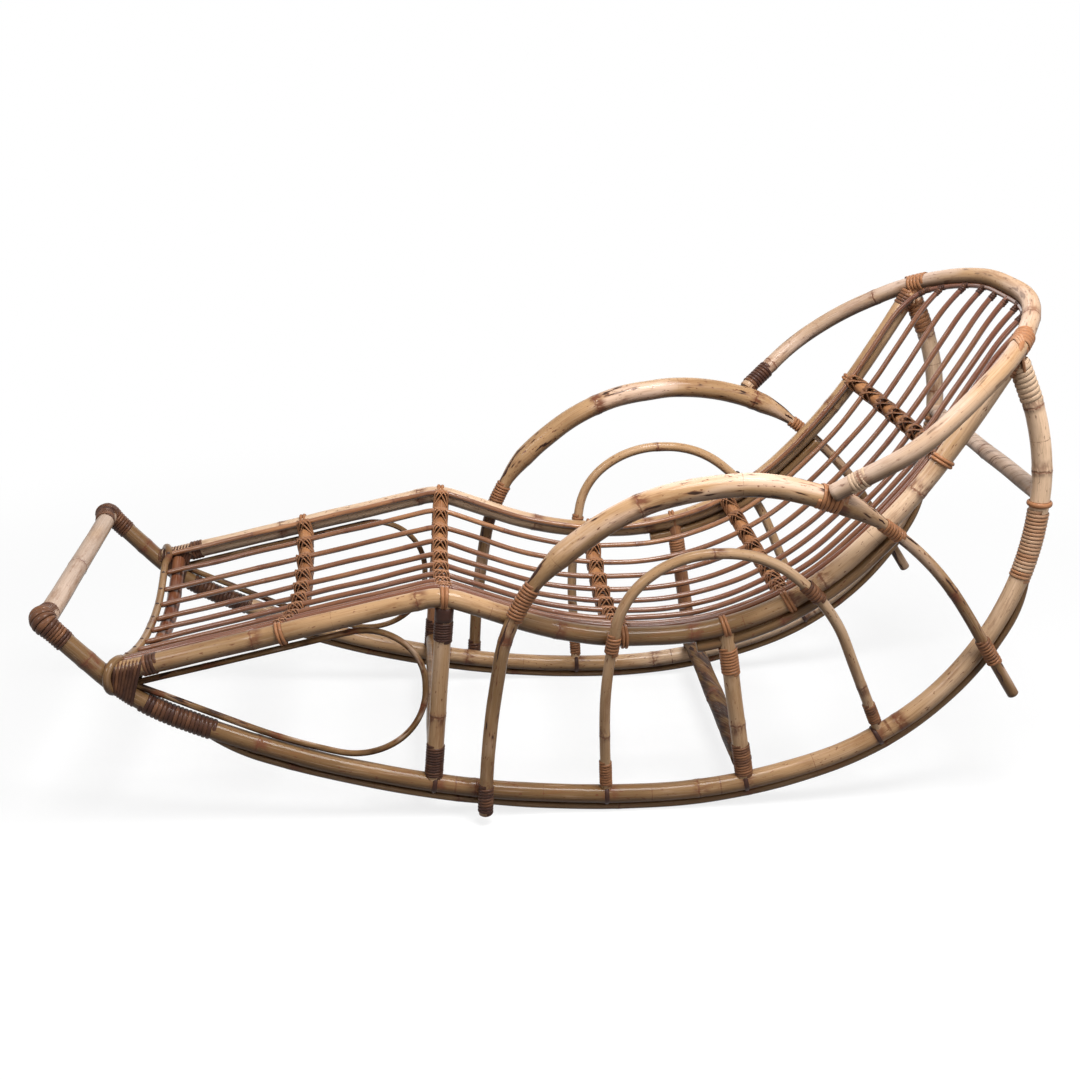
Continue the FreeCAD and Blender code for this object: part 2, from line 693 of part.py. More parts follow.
def lashing_nodes():
    places = (("foot", FOOT_BEARER_X), ("knee", KNEE_BEARER_X), ("seat", SEAT_BEARER_X),
              ("lumbar", LUMBAR_BEARER_X), ("back", BACK_BEARER_X))
    for name, x in places:
        save(name + "_lashing", lashing(name + " lashing", x))
    save("rail_straps", both_sides([strap(x) for name, x in places]))


def main():
    os.makedirs("parts", exist_ok=True)
    frame_nodes()
    cross_nodes()
    slat_nodes()
    splice_windings()
    post_windings()
    arm_bindings()
    inner_hoop_bindings()
    back_bindings()
    foot_bindings()
    lashing_nodes()


if __name__ == "__main__":
    main()
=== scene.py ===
"""Rattan rocking chaise longue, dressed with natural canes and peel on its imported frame."""
import math
import random

import bpy
from bpy.props import FloatProperty, FloatVectorProperty, IntProperty, PointerProperty
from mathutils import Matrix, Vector, noise


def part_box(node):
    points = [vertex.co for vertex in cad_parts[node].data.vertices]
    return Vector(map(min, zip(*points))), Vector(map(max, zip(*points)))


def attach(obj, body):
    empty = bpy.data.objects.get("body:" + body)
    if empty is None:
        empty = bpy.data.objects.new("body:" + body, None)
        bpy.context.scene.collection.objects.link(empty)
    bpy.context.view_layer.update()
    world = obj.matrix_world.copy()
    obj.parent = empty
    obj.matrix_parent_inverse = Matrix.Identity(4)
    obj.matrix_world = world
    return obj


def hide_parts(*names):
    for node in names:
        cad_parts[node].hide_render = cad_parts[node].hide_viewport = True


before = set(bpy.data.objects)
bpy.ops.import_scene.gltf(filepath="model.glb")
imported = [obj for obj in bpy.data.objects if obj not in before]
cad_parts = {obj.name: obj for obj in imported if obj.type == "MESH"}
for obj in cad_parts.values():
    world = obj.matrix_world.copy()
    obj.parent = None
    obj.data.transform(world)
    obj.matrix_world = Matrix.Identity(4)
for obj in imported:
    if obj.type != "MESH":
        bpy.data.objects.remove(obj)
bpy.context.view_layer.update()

bl_info = {
    "name": "Rattan Rocking Chaise",
    "version": (1, 0, 0),
    "blender": (4, 5, 0),
    "location": "View3D > Sidebar > Chaise",
    "description": "Builds the canes, windings, lashings and stage of a rattan rocking chaise longue",
    "category": "Object",
}

MM = 0.001
TAU = 2.0 * math.pi
OUT = Vector((0.0, -1.0, 0.0))
UP = Vector((0.0, 0.0, 1.0))
BODY = "root"


def width_of(node):
    """Size of a frame node across the chaise, in metres."""
    low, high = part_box(node)
    return high[1] - low[1]


# Side profiles of the frame (x, z), in millimetres
TRACK_HALF = (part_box("right_runner")[0][1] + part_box("right_runner")[1][1]) / 2.0 / MM
SIDE_CORNERS = ((-756.0, 352.0), (-635.0, 218.0), (-215.0, 27.3), (304.0, 27.3), (728.0, 180.0),
                (756.0, 586.0), (691.0, 726.0))
SIDE_RADII = (370.0, 1660.0, 850.0, 455.0, 400.0)
POLE_END = 17.0
RAIL_CORNERS = ((-677.0, 264.0), (-164.0, 379.0), (45.0, 301.0), (342.0, 301.0), (560.0, 519.0),
                (687.0, 735.0))
RAIL_RADII = (95.0, 560.0, 430.0, 900.0)
UNDER_RAIL_X = (229.0, 535.0)
FRONT_SPLICE_X = (-622.0, -520.0)
REAR_SPLICE_Z = (380.0, 492.0)
FRONT_POST_X = (-158.0, -184.0)
REAR_POST_X = (272.0, 316.0)
FEET_X = (-182.0, 92.0, 316.0, 527.0)
STRETCHER_Z = (92.0, 78.0, 517.0)

# Bent canes outside the left rail (x, outward from the rail, z), in millimetres
ARM_ROUTE = ((-103.0, 31.0, 17.0), (-99.0, 31.0, 150.0), (-58.0, 33.0, 395.0), (127.0, 42.0, 540.0),
             (307.0, 44.0, 563.0), (447.0, 50.0, 525.0), (542.0, 34.0, 455.0), (609.0, 30.0, 388.0),
             (732.0, 29.0, 195.0))
ARM_FRONT_SCARF = 400.0
ARM_REAR_SCARF = 385.0
ARM_TAPER = 60.0
FRONT_TAPERS = {"left": ARM_FRONT_SCARF, "right": ARM_FRONT_SCARF - 25.0}
INNER_HOOP_ROUTE = ((92.0, 0.0, 30.0), (82.0, 25.0, 222.0), (107.0, 36.0, 383.0), (194.0, 34.0, 447.0),
                    (320.0, 34.0, 447.0), (430.0, 27.0, 355.0), (529.0, 0.0, 125.0))
BACK_HOOP_ROUTE = ((409.0, 62.0, 546.0), (514.0, 116.0, 626.0), (586.0, 91.0, 681.0),
                   (684.0, 21.0, 746.0), (765.0, -130.0, 791.0))
SCROLL_START_X = -603.0
SCROLL_TOUCH_Z = 195.0
SCROLL_LOW_Z = 83.0
SCROLL_END = ((-403.0, 140.0), (-598.0, 231.0))
SCROLL_RADII = (92.0, 108.0, 900.0)
SCROLL_GAP = 4.2
SCROLL_TUCKS = (36.0, 40.0)

# Slat bed, in millimetres
SLAT_COUNT = 10
EDGE_RISE = 9.0
BED_DEPTH = 42.0
BAND_MIDDLE = 19.0
BAND_END = 25.5
BAND_HOOK = ((-653.0, -225.0, 277.0), (-655.0, -240.0, 286.0), (-663.0, -260.0, 285.0),
             (-669.0, -271.0, 270.0), (-668.0, -268.0, 246.0), (-664.0, -254.0, 238.0))
BAND_REACH = 210.0
SLAT_REACH = 67.0
CROWN_DROP = 0.0011
BEARER_X = {"front": -641.0, "foot": -408.0, "knee": -160.0, "seat": 115.0, "lumbar": 369.0,
            "back": 591.0}
HOOP_BAND = 9.0
HOOP_BAND_SEAT = 6.0
SLAT_BEND = 70.0
NAIL_SIDES = 10
BAR_INSET = 6.0
GAP = 0.3

# Lashings: tone on each bearer, lead before the first slat, and the strips that lie side by side
LASH_TONES = {"foot": 0.46, "knee": 0.66, "seat": 0.48, "lumbar": 0.42, "back": 0.32}
LASH_LEAD = 0.2
LASH_HEIGHT = 1.6
LASH_STRIPS = (6.0, (-5.4, 0.0, 5.4))
BACK_LASH_STRIPS = (9.0, (-4.4, 4.4))

# Cane joints seen in the photograph, by the x of the cane in millimetres
RUNNER_JOINTS_X = (-455.0, -118.0, 240.0, 560.0)
RAIL_JOINTS_X = (-451.0, -201.0, 12.0, 219.0, 375.0, 421.0, 557.0)
POLE_JOINT_X = -700.0
UPRIGHT_JOINTS = (75.0, 180.0)
ARM_JOINTS = (("z", 313.0), ("x", 128.0), ("x", 422.0), ("z", 372.0, True))
INNER_HOOP_JOINTS = (("z", 141.0), ("x", 244.0), ("z", 209.0, True))
POST_JOINT = 0.62
BAR_JOINT = 0.46

# Cross bars: finish, slot, tone, extra thickness, lumps and twist of the grain
BARS = {"front_stretcher": ("dark", "dark_cane", 0.1, 0.0, 0.014, 0.09),
        "rear_stretcher": ("bark", "dark_cane", 0.22, 8.0, 0.09, 0.02),
        "back_stretcher": ("streaked", "pale_cane", 0.8, 2.0, 0.014, 0.09),
        "foot_bar": ("worn", "pale_cane", 0.48, 6.5, 0.014, 0.0)}

# Stage, in metres and degrees: a lamp has its size, its place and what it is aimed at
LAMPS = {"key": (1.1, (0.38, -0.80, 2.40), (0.1, 0.0, 0.4)),
         "fill": (1.4, (1.5, -1.6, 1.5), (0.5, 0.0, 0.4)),
         "side": (0.7, (-1.5, -1.1, 1.7), (0.4, 0.0, 0.4)),
         "back": (2.4, (0.2, 2.7, 1.6), (0.0, 0.0, 0.4))}
FLOOR_REACH = 14.0
CAMERA_PLACE = (-0.169, -2.329, 1.221)
CAMERA_TURN = (70.036, 0.0, -4.252)
CAMERA_LENS = 49.33
CAMERA_SENSOR = 36.0


LENGTH = {"subtype": "DISTANCE", "unit": "LENGTH"}
COLOUR = {"subtype": "COLOR", "size": 3}


class CaneSizes(bpy.types.PropertyGroup):
    """Thickness of the canes and the peel."""
    frame_cane: FloatProperty(name="Frame cane",
                              description="Runners, poles, uprights and seat rails",
                              default=width_of("left_runner"), **LENGTH)
    wear_cane: FloatProperty(name="Wear strip", description="Thin cane under each runner",
                             default=width_of("left_wear_strip"), **LENGTH)
    under_cane: FloatProperty(name="Under-rail", description="Cane below the seat rail",
                              default=width_of("left_under_rail"), **LENGTH)
    scroll_cane: FloatProperty(name="Scroll",
                               description="Thin teardrop cane of the front triangle",
                               default=width_of("left_scroll"), **LENGTH)
    post_cane: FloatProperty(name="Post", description="Posts between rail and runner",
                             default=width_of("left_front_post"), **LENGTH)
    arm_cane: FloatProperty(name="Arm", description="Thick part of the arm",
                            default=0.036, **LENGTH)
    arm_leg: FloatProperty(name="Arm leg", description="Whittled front leg of the arm",
                           default=0.021, **LENGTH)
    arm_tail: FloatProperty(name="Arm tail", description="Whittled rear tail of the arm",
                            default=0.018, **LENGTH)
    inner_hoop: FloatProperty(name="Inner hoop", description="Hoop under the arm",
                              default=0.017, **LENGTH)
    back_hoop: FloatProperty(name="Back hoop", description="Flared hoop of the back",
                             default=0.028, **LENGTH)
    cross_cane: FloatProperty(name="Cross cane", description="Bearers and stretchers",
                              default=0.024, **LENGTH)
    front_band: FloatProperty(name="Front band",
                              description="Nailed cane at the foot end of the bed",
                              default=0.013, **LENGTH)
    slat: FloatProperty(name="Slat", description="Thin canes of the bed", default=0.0095, **LENGTH)
    peel_height: FloatProperty(name="Peel height",
                               description="How far a turn of peel stands proud",
                               default=0.0019, **LENGTH)
    joint_spacing: FloatProperty(name="Joint spacing",
                                 description="Usual length between two cane joints",
                                 default=0.235, **LENGTH)
    cane_sides: IntProperty(name="Cane sides", description="Faces round a thick cane",
                            default=20, min=8)


class CaneColours(bpy.types.PropertyGroup):
    """Colours of the cane, the peel and the nails."""
    honey: FloatVectorProperty(name="Honey", description="Main colour of varnished cane",
                               default=(0.40, 0.24, 0.120), **COLOUR)
    pale: FloatVectorProperty(name="Pale", description="Paler, pinkish stretches of cane",
                              default=(0.60, 0.42, 0.28), **COLOUR)
    olive: FloatVectorProperty(name="Olive", description="Darker, greenish stretches of cane",
                               default=(0.17, 0.094, 0.039), **COLOUR)
    stain: FloatVectorProperty(name="Stain", description="Reddish marks beside the joints",
                               default=(0.135, 0.045, 0.022), **COLOUR)
    varnish: FloatVectorProperty(name="Varnish",
                                 description="Red-brown varnish gathered in stretches",
                                 default=(0.20, 0.085, 0.030), **COLOUR)
    # Bark also gives the painted shade on the undersides of the canes and between the turns of peel.
    bark: FloatVectorProperty(name="Bark", description="Dark bark left on the cane",
                              default=(0.030, 0.014, 0.009), **COLOUR)
    bloom: FloatVectorProperty(name="Bloom", description="Pinkish bloom on the arms and the hoop",
                               default=(0.70, 0.51, 0.41), **COLOUR)
    worn: FloatVectorProperty(name="Worn", description="Greyish worn cane of the foot bar",
                              default=(0.44, 0.32, 0.24), **COLOUR)
    slat: FloatVectorProperty(name="Slat", description="Reddish brown slats",
                              default=(0.17, 0.064, 0.025), **COLOUR)
    slat_pale: FloatVectorProperty(name="Slat light", description="Lighter stretches of the slats",
                                   default=(0.39, 0.180, 0.077), **COLOUR)
    peel_dark: FloatVectorProperty(name="Dark peel", description="Dark purple-brown peel",
                                   default=(0.045, 0.018, 0.012), **COLOUR)
    peel_orange: FloatVectorProperty(name="Orange peel", description="Orange-brown peel",
                                     default=(0.31, 0.137, 0.062), **COLOUR)
    peel_tan: FloatVectorProperty(name="Tan peel", description="Pale tan peel",
                                  default=(0.50, 0.35, 0.235), **COLOUR)
    nail: FloatVectorProperty(name="Nail", description="Dark nail heads",
                              default=(0.018, 0.012, 0.010), **COLOUR)


class StageLook(bpy.types.PropertyGroup):
    """Floor, lamps and camera."""
    floor: FloatVectorProperty(name="Floor", description="Colour of floor and backdrop",
                               default=(0.92, 0.92, 0.92), **COLOUR)
    bounce: FloatVectorProperty(name="Bounce", description="Colour the floor throws back",
                                default=(0.13, 0.11, 0.09), **COLOUR)
    key_power: FloatProperty(name="Key lamp", description="Power of the soft lamp overhead",
                             default=74.0, unit="POWER")
    fill_power: FloatProperty(name="Fill lamp", description="Power of the soft lamp in front",
                              default=20.0, unit="POWER")
    side_power: FloatProperty(name="Side lamp", description="Power of the lamp at the foot end",
                              default=15.0, unit="POWER")
    back_power: FloatProperty(name="Back lamp", description="Power of the soft lamp behind",
                              default=21.0, unit="POWER")
    sky: FloatProperty(name="Sky", description="Strength of the even light from all round",
                       default=0.07)


class Straight:
    """A straight run of a route."""

    def __init__(self, start, end):
        self.start = start
        self.run = (end - start).normalized()
        self.length = (end - start).length

    def at(self, distance):
        return self.start + self.run * distance, self.run


class Bend:
    """An arc that leaves start along run and ends at end."""

    def __init__(self, start, run, end):
        chord = end - start
        half = run.angle(chord)
        self.run = run
        self.side = (chord - run * chord.dot(run)).normalized()
        self.radius = chord.length / (2.0 * math.sin(half))
        self.centre = start + self.side * self.radius
        self.length = 2.0 * half * self.radius

    def at(self, distance):
        angle = distance / self.radius
        point = self.centre + (self.run * math.sin(angle) - self.side * math.cos(angle)) * self.radius
        return point, self.run * math.cos(angle) + self.side * math.sin(angle)


class Route:
    """A chain of runs that can be measured along its length, in millimetres."""

    def __init__(self, runs):
        self.runs = runs
        self.length = sum(run.length for run in runs)

    def at(self, distance):
        left = distance
        for run in self.runs:
            if left <= run.length or run is self.runs[-1]:
                return run.at(left)
            left -= run.length

    def where(self, axis, value, from_end=False):
        """Distance along the route of the first, or last, place with a coordinate value."""
        count = 3000
        order = range(count, -1, -1) if from_end else range(count + 1)
        before = None
        for step in order:
            gap = getattr(self.at(step * self.length / count)[0], axis) - value
            if before is not None and gap * before <= 0.0:
                return step * self.length / count
            before = gap
        raise ValueError("the route never reaches that place")

    def point(self, axis, value, from_end=False):
        """The place itself, as where() finds it."""
        return self.at(self.where(axis, value, from_end))[0]


class Stretch:
    """Part of a route, between two distances along it."""

    def __init__(self, route, begin, end):
        self.route = route
        self.begin = begin
        self.length = end - begin

    def at(self, distance):
        return self.route.at(self.begin + distance)


class Backward:
    """A run followed from its end to its start."""

    def __init__(self, run):
        self.run = run
        self.length = run.length

    def at(self, distance):
        point, run = self.run.at(self.length - distance)
        return point, -run


class Mirrored:
    """A route seen in the middle plane of the chaise."""

    def __init__(self, route):
        self.route = route
        self.length = route.length

    def at(self, distance):
        point, run = self.route.at(distance)
        return Vector((point.x, -point.y, point.z)), Vector((run.x, -run.y, run.z))

    def where(self, axis, value, from_end=False):
        return self.route.where(axis, -value if axis == "y" else value, from_end)


def rounded(points, radii=None):
    """Straight runs joined by tangent arcs, as large as the runs allow if no radii are given."""
    runs = []
    here = points[0]
    last = len(points) - 1
    for count in range(1, last):
        corner = points[count]
        back = points[count - 1] - corner
        ahead = points[count + 1] - corner
        half_turn = (math.pi - back.angle(ahead)) / 2.0
        if radii:
            reach = radii[count - 1] * math.tan(half_turn)
        else:
            reach = min(back.length * (0.98 if count == 1 else 0.49),
                        ahead.length * (0.98 if count == last - 1 else 0.49))
        first = corner + back.normalized() * reach
        second = corner + ahead.normalized() * reach
        if (first - here).length > 0.05:
            runs.append(Straight(here, first))
        runs.append(Bend(first, -back.normalized(), second))
        here = second
    runs.append(Straight(here, points[last]))
    return Route(runs)


def lowered(points, radii, distance):
    """A side profile moved down by a distance, with its bends kept concentric."""
    lines = []
    for first, second in zip(points, points[1:]):
        run = (second - first).normalized()
        lines.append((first + Vector((run.z, 0.0, -run.x)) * distance, run))
    moved = [lines[0][0]]
    bends = []
    for (base, run), (other, turn), radius in zip(lines, lines[1:], radii):
        cross = run.x * turn.z - run.z * turn.x
        gap = other - base
        moved.append(base + run * ((gap.x * turn.z - gap.z * turn.x) / cross))
        bends.append(radius + math.copysign(distance, cross))
    run = lines[-1][1]
    moved.append(points[-1] + Vector((run.z, 0.0, -run.x)) * distance)
    return rounded(moved, bends)


def profile(corners, y=-TRACK_HALF):
    return [Vector((x, y, z)) for x, z in corners]


def outside(corners):
    return [Vector((x, -TRACK_HALF - out, z)) for x, out, z in corners]


def side_points():
    points = profile(SIDE_CORNERS)
    points[0] = points[0] + (points[0] - points[1]).normalized() * POLE_END
    return points


def hoop_points(inset=0.0):
    left = outside(BACK_HOOP_ROUTE)
    if inset:
        rise = profile(RAIL_CORNERS, 0.0)
        back = (rise[-1] - rise[-2]).normalized()
        left = [p - back * inset + Vector((0.0, inset, 0.0)) * (p.y < -TRACK_HALF / 2.0) for p in left]
    return left + [Vector((p.x, -p.y, p.z)) for p in reversed(left)]


SIDE = rounded(side_points(), SIDE_RADII)
RAIL_POINTS = profile(RAIL_CORNERS)
RAIL = rounded(RAIL_POINTS, RAIL_RADII)
ARM = rounded(outside(ARM_ROUTE))
INNER_HOOP = rounded(outside(INNER_HOOP_ROUTE))
HOOP = rounded(hoop_points())
FRONT_SPLICE = [SIDE.where("x", x) for x in FRONT_SPLICE_X]
REAR_SPLICE = [SIDE.where("z", z, True) for z in REAR_SPLICE_Z]


def post_route(ends_x):
    return rounded([RAIL.point("x", ends_x[0]), SIDE.point("x", ends_x[1])])


FRONT_POST = post_route(FRONT_POST_X)
REAR_POST = post_route(REAR_POST_X)


NO_JOINT = 99.0


class Form:
    """Collects the rings of a piece and makes its mesh object."""

    def __init__(self):
        self.points = []
        self.faces = []
        self.grain = []
        self.joint = []
        self.tone = []
        self.edge = []

    def add(self, point, grain, joint=NO_JOINT, tone=0.5, edge=0.0):
        self.points.append(point * MM)
        self.grain.append(grain)
        self.joint.append(joint)
        self.tone.append(tone)
        self.edge.append(edge)
        return len(self.points) - 1

    def skin(self, rings):
        """Joins closed rings of points in turn and closes both ends."""
        for first, second in zip(rings, rings[1:]):
            count = len(first)
            for k in range(count):
                n = (k + 1) % count
                self.faces.append((first[k], first[n], second[n], second[k]))
        self.faces.append(tuple(reversed(rings[0])))
        self.faces.append(tuple(rings[-1]))

    def build(self, name, material, slot, *nodes):
        mesh = bpy.data.meshes.new(name)
        mesh.from_pydata([tuple(p) for p in self.points], [], self.faces)
        grain = mesh.attributes.new("grain", "FLOAT_VECTOR", "POINT")
        grain.data.foreach_set("vector", [value for vector in self.grain for value in vector])
        for key, values in (("joint", self.joint), ("tone", self.tone), ("edge", self.edge)):
            mesh.attributes.new(key, "FLOAT", "POINT").data.foreach_set("value", values)
        mesh.polygons.foreach_set("use_smooth", [len(face) == 4 for face in self.faces])
        mesh.materials.append(material)
        piece = bpy.data.objects.new(name, mesh)
        bpy.context.scene.collection.objects.link(piece)
        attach(piece, BODY)
        if nodes:
            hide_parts(*nodes)
        return piece


# Rings of a cane, in millimetres: usual distance, distances at a joint, and the rounding of its ends
RING_STEP = 7.0
END_EASE = 0.88
END_ROUND = 1.2
JOINT_STEPS = (-12.0, -8.0, -5.0, -3.0, -1.8, -0.9, 0.0, 0.9, 1.8, 3.0, 5.0, 8.0, 12.0)


def stations(begin, end, step, joints):
    """Distances at which a cane gets a ring, close together at its joints."""
    count = max(2, int((end - begin) / step))
    marks = [begin + (end - begin) * k / count for k in range(count + 1)]
    marks += [joint + extra for joint in joints for extra in JOINT_STEPS if begin < joint + extra < end]
    kept = []
    for mark in sorted(marks):
        if not kept or mark - kept[-1] > 0.3:
            kept.append(mark)
    return kept


def spaced_joints(begin, end, spacing, seed):
    """Cane joints at uneven natural distances."""
    draw = random.Random(seed)
    joints = []
    here = begin + spacing * draw.uniform(0.25, 0.8)
    while here < end - 20.0:
        joints.append(here)
        here += spacing * draw.uniform(0.8, 1.2)
    return joints


def cross_axes(run, normal):
    """The normal turned square to a run, and the direction across both."""
    square = (normal - run * normal.dot(run)).normalized()
    return square, run.cross(square)


def cane(form, route, diameter, begin=0.0, end=None, joints=(), seed=0, sides=20, tone=0.5, girth=None,
         lumps=0.014, sway=0.7, twist=0.0):
    """A natural cane: uneven and a little crooked, swollen at its joints, with eased ends."""
    end = route.length if end is None else end
    run = route.at(begin)[1]
    normal = OUT if abs(run.dot(OUT)) < 0.8 else UP
    marks = stations(begin, end, RING_STEP, joints)
    first, last = marks[0], marks[-1]
    places = [(first, END_EASE), (first + END_ROUND, 1.0)] + [(mark, 1.0) for mark in marks[1:-1]]
    places += [(last - END_ROUND, 1.0), (last, END_EASE)]
    rings = []
    for mark, ease in places:
        centre, run = route.at(mark)
        normal, across = cross_axes(run, normal)
        centre = centre + normal * (sway * noise.noise(Vector((mark * 0.011, seed * 2.9, 4.0))))
        centre = centre + across * (sway * noise.noise(Vector((mark * 0.011, seed * 2.9, 9.0))))
        near = min((mark - joint for joint in joints), key=abs, default=NO_JOINT)
        swell = 0.05 * math.exp(-(near / 5.0) ** 2) - 0.03 * math.exp(-((near - 0.6) / 0.8) ** 2)
        uneven = 0.02 * noise.noise(Vector((seed * 7.3, mark * 0.012, 0.5)))
        radius = diameter / 2.0 * ease * (1.0 + swell + uneven)
        if girth is not None:
            radius *= girth(mark)
        shade = tone(mark) if callable(tone) else tone
        ring = []
        for k in range(sides):
            angle = TAU * k / sides
            spoke = normal * math.cos(angle) + across * math.sin(angle)
            bump = noise.noise(Vector((math.cos(angle) * 1.2 + seed * 3.7, math.sin(angle) * 1.2,
                                       mark * 0.025)))
            reach = radius * (1.0 + lumps * bump)
            turn = angle + twist * mark
            grain = (reach * math.cos(turn) + seed * 53.0, reach * math.sin(turn), mark + seed * 311.0)
            ring.append(form.add(centre + spoke * reach, grain, near, shade))
        rings.append(ring)
    form.skin(rings)


# Sections across a strip of peel and a sliver of bark (share of the width, share of the height)
STRIP = ((-0.5, -0.3), (-0.49, 0.2), (-0.38, 0.68), (-0.2, 0.93), (0.0, 1.0), (0.2, 0.93),
         (0.38, 0.68), (0.49, 0.2), (0.5, -0.3))
SLIVER = ((-1.0, -0.6), (-1.0, 0.1), (-0.5, 0.8), (0.0, 1.0), (0.5, 0.8), (1.0, 0.1), (1.0, -0.6))
STRIP_STEPS = 24
PAIR_STEPS = 40
SLIVER_STEPS = 16
BARK_TONE = -0.1


def wrap(form, route, begin, end, turns, core, height, width=None, hand=1.0, phase=0.0, seed=0, tone=0.5,
         facing=OUT, lift=None, pace=None):
    """Peel laid round a cane as one flat strip, turn beside turn, with its ends tucked in."""
    pitch = (end - begin) / turns
    strip = pitch * 0.99 if width is None else width
    count = max(6, int(turns * STRIP_STEPS))
    rings = []
    for step in range(count + 1):
        turn = turns * step / count
        angle = TAU * (phase + hand * turn)
        loose = 1.0 + 0.16 * noise.noise(Vector((turn * 0.9, seed * 5.1, 0.3)))
        tuck = min(1.0, step / 4.0, (count - step) / 4.0)
        mark = begin + pitch * turn if pace is None else pace(turn)
        ring = []
        for share, rise in STRIP:
            centre, run = route.at(mark + share * strip)
            normal, across = cross_axes(run, facing)
            spoke = normal * math.cos(angle) + across * math.sin(angle)
            if lift is not None:
                centre = centre + lift(mark, spoke)
            reach = core / 2.0 + height * (rise * loose * tuck - 0.25 * (1.0 - tuck))
            shade = tone + 0.15 * noise.noise(Vector((seed * 9.7, turn * 0.55, 1.7)))
            grain = (share * strip, turn * math.pi * core, seed * 131.0)
            ring.append(form.add(centre + spoke * reach, grain, NO_JOINT, shade, abs(share) * 2.0))
        rings.append(ring)
    form.skin(rings)


def bind_pair(form, first, second, turns, height, width, seed=0, tone=0.5, facing=OUT):
    """Peel wound round two canes together: each is (route, from, to, thickness)."""
    count = int(turns * PAIR_STEPS)
    rings = []
    for step in range(count + 1):
        turn = turns * step / count
        share = step / count
        place = []
        for route, begin, end, thick in (first, second):
            place.append((route.at(begin + (end - begin) * share)[0], thick / 2.0))
        (one, one_r), (two, two_r) = place
        lengthwise = (two - one).normalized()
        sideways = (facing - lengthwise * facing.dot(lengthwise)).normalized()
        along = lengthwise.cross(sideways)
        span = (two - one).length
        lengths = (math.pi * two_r, span, math.pi * one_r, span)
        left = (turn % 1.0) * sum(lengths)
        leg = 0
        while leg < 3 and left > lengths[leg]:
            left -= lengths[leg]
            leg += 1
        angle = -math.pi / 2.0 + left / two_r if leg == 0 else math.pi / 2.0 + left / one_r
        if leg in (0, 2):
            normal = lengthwise * math.cos(angle) + sideways * math.sin(angle)
            base = two + normal * two_r if leg == 0 else one + normal * one_r
        else:
            normal = sideways if leg == 1 else -sideways
            start, finish = ((two, two_r), (one, one_r)) if leg == 1 else ((one, one_r), (two, two_r))
            base = (start[0] + normal * start[1]).lerp(finish[0] + normal * finish[1], left / span)
        tuck = min(1.0, step / 4.0, (count - step) / 4.0)
        ring = []
        for across, rise in STRIP:
            shade = tone + 0.15 * noise.noise(Vector((seed * 9.7, turn * 0.55, 1.7)))
            grain = (across * width, turn * sum(lengths), seed * 131.0)
            point = base + normal * (height * rise * tuck) + along * (across * width)
            ring.append(form.add(point, grain, NO_JOINT, shade, abs(across) * 2.0))
        rings.append(ring)
    form.skin(rings)


def sliver(form, route, begin, end, core, angle, width, seed):
    """Bark left on a cane, thin at both ends; core gives the thickness of the cane at a place."""
    rings = []
    for step in range(SLIVER_STEPS + 1):
        share = step / SLIVER_STEPS
        mark = begin + (end - begin) * share
        centre, run = route.at(mark)
        normal, across = cross_axes(run, OUT)
        thick = core(mark)
        swell = math.sin(math.pi * (0.04 + 0.92 * share))
        half = width / thick * swell * (1.0 + 0.5 * noise.noise(Vector((share * 5.0, seed * 3.3, 2.0))))
        middle = angle + 0.25 * noise.noise(Vector((share * 3.0, seed * 3.3, 7.0)))
        ring = []
        for edge, rise in SLIVER:
            turn = middle + edge * half
            spoke = normal * math.cos(turn) + across * math.sin(turn)
            grain = (edge * width, mark, seed * 131.0)
            point = centre + spoke * (thick / 2.0 + rise * swell)
            ring.append(form.add(point, grain, NO_JOINT, BARK_TONE, abs(edge)))
        rings.append(ring)
    form.skin(rings)


class Sock:
    """A shader socket that takes part in Python expressions."""

    def __init__(self, finish, socket):
        self.finish = finish
        self.socket = socket

    def maths(self, operation, *values):
        return self.finish.node("ShaderNodeMath", {"operation": operation}, dict(enumerate(values)))

    def __add__(self, other):
        return self.maths("ADD", self, other)

    def __radd__(self, other):
        return self.maths("ADD", other, self)

    def __sub__(self, other):
        return self.maths("SUBTRACT", self, other)

    def __rsub__(self, other):
        return self.maths("SUBTRACT", other, self)

    def __mul__(self, other):
        return self.maths("MULTIPLY", self, other)

    def __rmul__(self, other):
        return self.maths("MULTIPLY", other, self)

    def __abs__(self):
        return self.maths("ABSOLUTE", self)

    def ramp(self, low, high):
        """0 below low, 1 above high and smooth between."""
        return self.finish.node("ShaderNodeMapRange", {"interpolation_type": "SMOOTHSTEP"},
                                {"Value": self, "From Min": low, "From Max": high})


